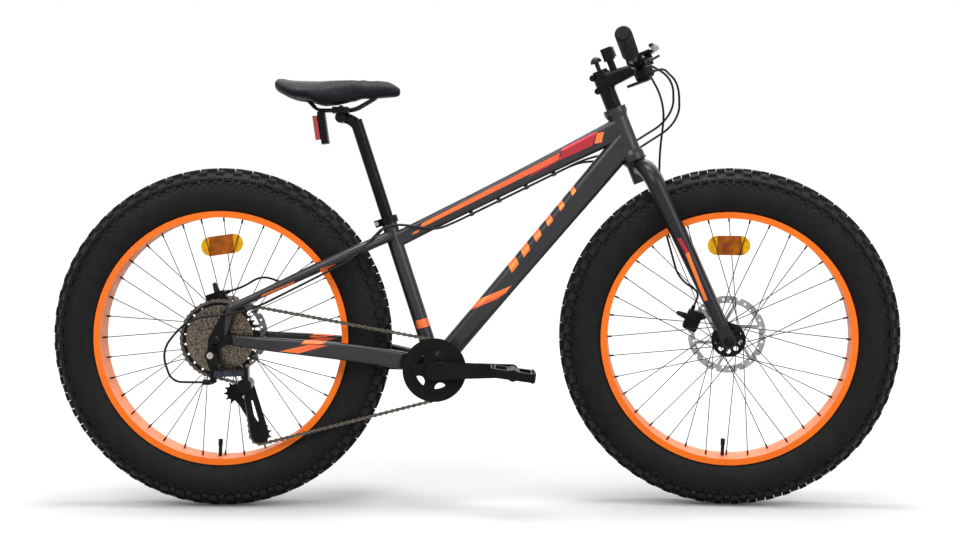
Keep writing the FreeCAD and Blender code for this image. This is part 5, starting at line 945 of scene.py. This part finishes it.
@dataclass
class FrameLooks(Looks):
    """Paint and stripes of the frame, fork and fixed pieces.

    Args:
        bars: Number of bars on the down tube.
        bars_from: Centre of the first bar.
        bars_to: Centre of the last bar.
        bar_half: Half of a bar's height across the tube.
        bar_share: Bar length as a share of the step.
        bar_shrink: What each bar loses of that length against the one before.
        bar_lean: How far the top of a bar leans forward.
        dropout_r: Reach of the black dropouts about the rear axle.
        clamp_bolt: Start of the seat clamp bolt's head to the right, and its reach ahead
            of the clamp's back.
    """

    bars: int = 6
    bars_from: Flat = (0.0833, 0.5447)
    bars_to: Flat = (0.2143, 0.7113)
    bar_half: float = 0.0115
    bar_share: float = 0.6
    bar_shrink: float = 0.1
    bar_lean: float = 0.006
    dropout_r: float = 0.036
    clamp_bolt: Flat = (0.0095, 0.0115)

    def slanted_bars(self) -> tuple[Decal, ...]:
        """A plain row of slanted bars along the down tube.

        Returns:
            The bars.
        """
        start, end = self.bars_from, self.bars_to
        run = Vector((end[0] - start[0], end[1] - start[1]))
        step = run.length / (self.bars - 1)
        run.normalize()
        over = Vector((-run.y, run.x))
        tip = over * self.bar_half + run * self.bar_lean
        bars = []
        for i in range(self.bars):
            middle = Vector(start) + run * (step * i)
            long = run * (step * self.bar_share / 2 * (1.0 - self.bar_shrink * i))
            first, last = middle - long, middle + long
            corners = (first - tip, last - tip, last + tip, first + tip)
            bars.append(Decal(tuple((c.x, c.y) for c in corners), ORANGE))
        return tuple(bars)

    def dress(self) -> None:
        """Paint the frame's nodes."""
        marks = {
            node: tuple(Decal(tuple(corners), ink, fade) for ink, fade, *corners in rows)
            for node, rows in STRIPES.items()
        }
        marks["down_tube"] += self.slanted_bars()
        welded = (
            "head_tube", "top_tube", "down_tube", "seat_tube", "bottom_bracket_shell",
            "chainstays", "seatstays",
        )
        # The fork takes the darker copy of the frame paint as painted shade.
        for finish, nodes in ((PAINT, welded), (FORK_PAINT_SHADED, ("fork_steerer", "fork_blades"))):
            for node in nodes:
                self.palette.paint(finish, node, decals=marks.get(node, ()))
        self.palette.paint(
            BLACK, "frame_bearings", "rear_axle", "front_axle",
            "rear_caliper", "front_caliper", "headset_spacers", "seat_clamp",
        )
        self.palette.paint(GLOSS, "rear_caliper_arm", "front_caliper_arm")
        self.palette.paint(HOUSING, "frame_cables", "front_brake_cable")
        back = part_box("seat_clamp")[0].x
        out, ahead = self.clamp_bolt
        self.palette.paint_where("seat_clamp", SILVER, lambda p: p.y < -out and p.x < back + ahead)
        spot = joint("rear_wheel_spin")[0]
        for node in ("chainstays", "seatstays"):
            self.palette.paint_where(
                node, BLACK, lambda p: math.hypot(p.x - spot.x, p.z - spot.z) < self.dropout_r
            )


@dataclass
class DriveLooks(Looks):
    """Finishes of the cranks, chain and derailleur.

    Args:
        black_r: Radius past which only the black largest sprocket shows.
        bolt_head: Reach of the hanger bolt's head in from the knuckle's side and down
            from its top.
    """

    black_r: float = 0.0735
    bolt_head: Flat = (0.0035, 0.02)

    def dress(self) -> None:
        """Paint the drive's nodes."""
        self.palette.paint(LINK, "chain")
        # Bronze with painted glints and painted shade in small spots.
        self.palette.paint(BRONZE_PAINTED_GLINTS, "cassette")
        spin = joint("sprocket_spin")
        self.palette.paint_where("cassette", BLACK, lambda p: from_axle(p, *spin) > self.black_r)
        self.palette.paint(
            BLACK, "cranks", "chainring", "derailleur_knuckle", "derailleur_inner_link",
            "derailleur_p_knuckle", "derailleur_cage",
        )
        self.palette.paint(PLASTIC, "chain_guard")
        self.palette.paint(BLUED, "derailleur_outer_link")
        low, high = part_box("derailleur_knuckle")
        out, down = self.bolt_head
        self.palette.paint_where(
            "derailleur_knuckle", SILVER, lambda p: p.y < low.y + out and p.z > high.z - down
        )
        self.palette.paint(PLASTIC, "right_pedal", "left_pedal", "guide_pulley", "tension_pulley")


@dataclass
class CockpitLooks(Looks):
    """Finishes and grip ridges of the bar.

    Args:
        bolt_back: Place that the bright stem bolts lie behind.
        bolt_long: Length that they stay under.
        ridge_step: Distance between grip ridges.
        ridge_r: Radius of a ridge's section.
        ridge_free: Length without ridges at each end of a grip.
        around: Corners round a ridge.
        section: Corners round its section.
    """

    bolt_back: float = 0.29
    bolt_long: float = 0.02
    ridge_step: float = 0.0052
    ridge_r: float = 0.00055
    ridge_free: float = 0.008
    around: int = 32
    section: int = 6

    def dress(self, line: RepeatTree) -> None:
        """Paint the cockpit and add the grips' ridges.

        Args:
            line: Line tree.
        """
        self.palette.paint(BLACK, "stem", "handlebar", "brake_perches")
        self.palette.paint(GLOSS, "left_brake_lever", "right_brake_lever")
        self.palette.paint(PLASTIC, "shifter_body", "shift_lever", "stem_accessories")
        self.palette.paint(GRIP, "grips")
        self.palette.paint_solid(
            "stem", SILVER,
            lambda low, high: low.x < self.bolt_back and high.x - low.x < self.bolt_long,
        )
        self.palette.paint_solid(
            "brake_perches", GLOSS, lambda low, high: high.y - low.y < SMALL_SOLID
        )
        self.lamp()
        self.ridges(line)

    def lamp(self) -> None:
        """Give the lamp its lens and the bell its dome."""
        first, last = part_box("stem_accessories")
        ahead, behind = last.x - END_SLACK, first.x + END_SLACK
        self.palette.paint_solid("stem_accessories", CLEAR_LENS, lambda low, high: high.x > ahead)
        self.palette.paint_solid("stem_accessories", OLIVE, lambda low, high: low.x < behind)

    def ridge(self, name: str, radius: float) -> Mesh:
        """One thin smooth ring about z.

        Args:
            name: Mesh name.
            radius: Radius of the ring's middle line.

        Returns:
            The new mesh.
        """
        work = bmesh.new()
        rows = []
        for i in range(self.around):
            a = 2 * math.pi * i / self.around
            row = []
            for k in range(self.section):
                b = 2 * math.pi * k / self.section
                r, z = radius + self.ridge_r * math.cos(b), self.ridge_r * math.sin(b)
                row.append(work.verts.new((r * math.cos(a), r * math.sin(a), z)))
            rows.append(row)
        for row, after in zip(rows, rows[1:] + rows[:1]):
            for k in range(self.section):
                m = (k + 1) % self.section
                work.faces.new((row[k], after[k], after[m], row[m]))
        mesh = keep(work, name)
        smooth(mesh)
        return mesh

    def ridges(self, line: RepeatTree) -> None:
        """Rings along both grips.

        Args:
            line: Line tree.
        """
        rubber = self.palette.material(GRIP)
        both = points(frame["nodes"]["grips"].data)
        for label, side in (("left", 1), ("right", -1)):
            name = f"{label}_grip_ridges"
            cloud = both[both[:, 1] * side > 0]
            middle = cloud.mean(0)
            way = np.linalg.svd(cloud - middle, full_matrices=False)[2][0]
            spot = (cloud - middle) @ way
            away = np.linalg.norm((cloud - middle) - np.outer(spot, way), axis=1)
            seed = self.ridge(name, float(np.median(away)))
            start = Vector(middle + way * (spot.min() + self.ridge_free))
            length = spot.max() - spot.min() - 2 * self.ridge_free
            turn = Vector(way).to_track_quat("Z", "Y").to_matrix().to_4x4()
            piece = line.make(
                name, seed, int(length / self.ridge_step), self.ridge_step, rubber,
                Matrix.Translation(start) @ turn, "steering",
            )


@dataclass
class SaddleLooks(Looks):
    """The padded saddle and the pieces under it.

    Args:
        voxel: Remesh size.
        cap: Most that a point may swell.
        pressure: Cloth pressure.
        steps: Cloth frames.
        quality: Cloth steps in each frame.
        fair_share: Strength of the last smoothing.
        fair_rounds: How often it runs.
        cells: Places along the saddle at which its depth is read.
        depths: Depth of the cover below its top line, from the nose at 0 to the tail at 1.
        crest: How far the top line rises above the solid's, likewise from nose to tail.
    """

    voxel: float = 0.003
    cap: float = 0.0012
    pressure: float = 2.0
    steps: int = 12
    quality: int = 5
    fair_share: float = 0.5
    fair_rounds: int = 4
    cells: int = 24
    depths: tuple[Flat, ...] = (
        (0.0, 0.033), (0.05, 0.037), (0.2, 0.041), (0.3, 0.039), (0.4, 0.043), (0.52, 0.051),
        (0.63, 0.053), (0.74, 0.044), (0.9, 0.033), (0.98, 0.026), (1.0, 0.02),
    )
    crest: tuple[Flat, ...] = (
        (0.0, -0.011), (0.02, -0.01), (0.055, -0.0062), (0.1, -0.003), (0.18, -0.0005),
        (0.25, 0.0005), (0.31, 0.0044), (0.37, 0.0052), (0.53, 0.0034), (0.7, 0.002),
        (0.86, 0.001), (1.0, 0.0),
    )

    def dress(self) -> None:
        """Paint the seat group and make the padded cover."""
        self.palette.paint(BLACK, "seatpost", "saddle_rails")
        self.palette.paint_solid("seatpost", SILVER, lambda low, high: high.y - low.y < SMALL_SOLID)
        self.palette.paint(PLASTIC, "tail_light")
        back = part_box("tail_light")[0].x
        self.palette.paint_solid("tail_light", RED_LENS, lambda low, high: low.x < back + END_SLACK)
        self.cover()

    def cover(self) -> None:
        """Swell the saddle's solid into a padded cover."""
        mesh = frame["nodes"]["saddle"].data.copy()
        mesh.materials.clear()
        cover = new_piece("saddle_cover", mesh)
        remesh = cover.modifiers.new("remesh", "REMESH")
        remesh.mode = "VOXEL"
        remesh.voxel_size = self.voxel
        self.apply(cover)
        self.deepen(cover.data)
        rest = points(cover.data)
        cloth = cover.modifiers.new("cloth", "CLOTH")
        cloth.settings.use_pressure = True
        cloth.settings.uniform_pressure_force = self.pressure
        cloth.settings.effector_weights.gravity = 0.0
        cloth.settings.quality = self.quality
        scene = bpy.context.scene
        for step in range(1, self.steps + 1):
            scene.frame_set(step)
        self.apply(cover)
        scene.frame_set(1)
        moved = points(cover.data) - rest
        length = np.linalg.norm(moved, axis=1, keepdims=True)
        moved *= np.minimum(1.0, self.cap / np.maximum(length, TINY))
        move_points(cover.data, rest + moved)
        fair = cover.modifiers.new("fair", "SMOOTH")
        fair.factor = self.fair_share
        fair.iterations = self.fair_rounds
        self.apply(cover)
        smooth(cover.data)
        cover.data.materials.append(self.palette.material(COVER))
        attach(cover, "seat_post")
        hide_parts("saddle")

    def deepen(self, mesh: Mesh) -> None:
        """Draw the cover's sides down to the depth that the photograph shows.

        Args:
            mesh: Cover mesh to change.
        """
        spots = points(mesh)
        nose, tail = spots[:, 0].max(), spots[:, 0].min()
        share = (nose - spots[:, 0]) / (nose - tail)
        cells = np.linspace(0.0, 1.0, self.cells)
        row = np.clip(np.digitize(share, cells) - 1, 0, len(cells) - 2)
        middles = (cells[:-1] + cells[1:]) / 2
        tops = np.array([spots[row == k, 2].max() for k in range(len(middles))])
        lows = np.array([spots[row == k, 2].min() for k in range(len(middles))])
        top = np.interp(share, middles, tops)
        have = np.interp(share, middles, tops - lows)
        want = np.interp(share, *zip(*self.depths))
        below = np.maximum(top - spots[:, 2], 0.0)
        spots[:, 2] -= below * (np.maximum(want / have, 1.0) - 1.0)
        high = np.clip(1.0 - below / have, 0.0, 1.0)
        spots[:, 2] += high * np.interp(share, *zip(*self.crest))
        move_points(mesh, spots)

    @staticmethod
    def apply(piece: Object) -> None:
        """Bake a piece's modifiers into its mesh.

        Args:
            piece: Object to change.
        """
        graph = bpy.context.evaluated_depsgraph_get()
        mesh = bpy.data.meshes.new_from_object(piece.evaluated_get(graph))
        piece.modifiers.clear()
        piece.data = mesh


@dataclass
class CableLooks(Looks):
    """The two cable loops, remade with shorter edges.

    Args:
        weld: Distance under which two corners become one.
        longest: Longest edge left on the loops.
        rounds: How often longer edges are cut in two at most.
        start: Where the loops stop following the bar. Not used.
        end: Where they are held by the frame. Not used.
    """

    weld: float = 1e-6
    longest: float = 0.008
    rounds: int = 6
    start: Point = (0.36, 0.0, 0.95)
    end: Point = (0.3, 0.0, 0.79)

    def dress(self) -> None:
        """Replace the loops by copies with shorter edges."""
        work = bmesh.new()
        work.from_mesh(frame["nodes"]["cable_loops"].data)
        bmesh.ops.remove_doubles(work, verts=work.verts, dist=self.weld)
        for _ in range(self.rounds):
            long = [e for e in work.edges if e.calc_length() > self.longest]
            if not long:
                break
            bmesh.ops.subdivide_edges(work, edges=long, cuts=1, use_grid_fill=True)
        bmesh.ops.triangulate(work, faces=work.faces)
        mesh = keep(work, "front_cable_loops")
        mesh.materials.append(self.palette.material(HOUSING))
        smooth(mesh)
        loops = new_piece("front_cable_loops", mesh)
        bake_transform(loops)
        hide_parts("cable_loops")


@dataclass
class Studio:
    """Floor, light and camera.

    Args:
        camera_at: Camera place.
        pitch_deg: Camera turn about x.
        lens: Focal length in mm.
        sensor: Sensor width in mm.
        floor: Half of the floor's side.
        floor_glow: Light that the far floor shows to the camera.
        glow_start: Distance at which half of that light shows.
        floor_tints: The two tones of the floor that the camera sees.
        tint_scale: Scale of their drift, per metre.
        floor_bounce: Tone of the floor for the light that it throws back.
        floor_rough: Roughness of the floor.
        floor_specular: Strength of its plain reflection.
        world_light: Strength of the surround at the horizon and overhead.
        lamps: Area lights.
        aim: Point that they face.
    """

    camera_at: Point = (0.010, -3.579, 0.685)
    pitch_deg: float = 87.495
    lens: float = 60.0
    sensor: float = 36.0
    floor: float = 80.0
    floor_glow: float = 0.84
    glow_start: float = 2.3
    floor_tints: tuple[Colour, Colour] = ((0.57, 0.57, 0.57), (0.55, 0.55, 0.55))
    tint_scale: float = 2.0
    floor_bounce: Colour = (0.16, 0.16, 0.16)
    floor_rough: float = 0.9
    floor_specular: float = 0.1
    world_light: Flat = (0.15, 0.7)
    lamps: tuple[Lamp, ...] = (
        Lamp("key", (-1.6, -3.2, 3.4), 2.6, 120.0),
        Lamp("fill", (2.6, -2.4, 2.2), 2.4, 70.0),
        Lamp("back", (0.4, 3.0, 2.8), 2.6, 40.0),
        Lamp("top", (0.0, -0.1, 3.4), 1.6, 110.0),
    )
    aim: Point = (0.0, 0.0, 0.45)

    def build(self) -> None:
        """Make the stage, the lights and the camera."""
        self.make_floor()
        self.make_world()
        for lamp in self.lamps:
            self.make_light(lamp)
        data = bpy.data.cameras.new("camera")
        data.lens = self.lens
        data.sensor_width = self.sensor
        data.sensor_fit = "HORIZONTAL"
        camera = bpy.data.objects.new("camera", data)
        camera.location = self.camera_at
        camera.rotation_euler = (math.radians(self.pitch_deg), 0.0, 0.0)
        bpy.context.scene.collection.objects.link(camera)
        bpy.context.scene.camera = camera
        bpy.context.scene.view_settings.view_transform = "Standard"

    def make_floor(self) -> None:
        """A pale floor under the tyres."""
        s = self.floor
        mesh = bpy.data.meshes.new("floor")
        mesh.from_pydata([(-s, -s, 0), (s, -s, 0), (s, s, 0), (-s, s, 0)], [], [(0, 1, 2, 3)])
        shader = Shader("floor")
        tint = shader.mix(shader.noise(self.tint_scale), *self.floor_tints)
        seen = shader.seen()
        away = shader.vector("LENGTH", shader.place)["Value"]
        square = shader.math("POWER", away, 2.0)
        share = shader.math("DIVIDE", square, shader.math("ADD", square, self.glow_start**2))
        glow = shader.math("MULTIPLY", share, self.floor_glow)
        values = {
            "Base Color": shader.mix(seen, self.floor_bounce, tint),
            "Roughness": self.floor_rough,
            "Specular IOR Level": self.floor_specular,
            "Emission Color": WHITE,
            "Emission Strength": shader.math("MULTIPLY", seen, glow),
        }
        shader.feed(shader.surface, values)
        mesh.materials.append(shader.material)
        new_piece("floor", mesh, None)

    def make_world(self) -> None:
        """White surround, with the lighting strength apart from what the camera sees."""
        world = bpy.data.worlds.new("studio")
        bpy.context.scene.world = world
        world.use_nodes = True
        kit = NodeKit(world.node_tree)
        way = kit.add("ShaderNodeTexCoord").outputs["Object"]
        height = kit.add("ShaderNodeSeparateXYZ", {0: way}).outputs["Z"]
        rise = kit.ramp(height, 0.0, 1.0, *self.world_light)
        lit = kit.add("ShaderNodeBackground", {"Color": WHITE, "Strength": rise})
        shown = kit.add("ShaderNodeBackground", {"Color": WHITE})
        ends = {0: kit.seen(), 1: lit.outputs[0], 2: shown.outputs[0]}
        mixed = kit.add("ShaderNodeMixShader", ends)
        kit.add("ShaderNodeOutputWorld", {0: mixed.outputs[0]})

    def make_light(self, lamp: Lamp) -> None:
        """Place one area light.

        Args:
            lamp: What it is.
        """
        data = bpy.data.lights.new(lamp.name, "AREA")
        data.size = lamp.size
        data.energy = lamp.power
        light = bpy.data.objects.new(lamp.name, data)
        light.location = lamp.at
        way = Vector(self.aim) - Vector(lamp.at)
        light.rotation_euler = way.to_track_quat("-Z", "Y").to_euler()
        bpy.context.scene.collection.objects.link(light)


def main() -> None:
    """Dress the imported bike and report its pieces."""
    logging.basicConfig(level=logging.INFO)
    palette = Palette()
    ring = RepeatTree("ring_repeat", True)
    line = RepeatTree("line_repeat", False)
    FrameLooks(palette).dress()
    for end in WheelEnd:
        WheelLooks(palette, end).dress(ring)
    DriveLooks(palette).dress()
    CockpitLooks(palette).dress(line)
    SaddleLooks(palette).dress()
    CableLooks(palette).dress()
    Studio().build()
    for piece in bpy.context.scene.objects:
        if piece.type == "MESH":
            log.info("piece %s: %d faces", piece.name, len(piece.data.polygons))


if __name__ == "__main__":
    main()
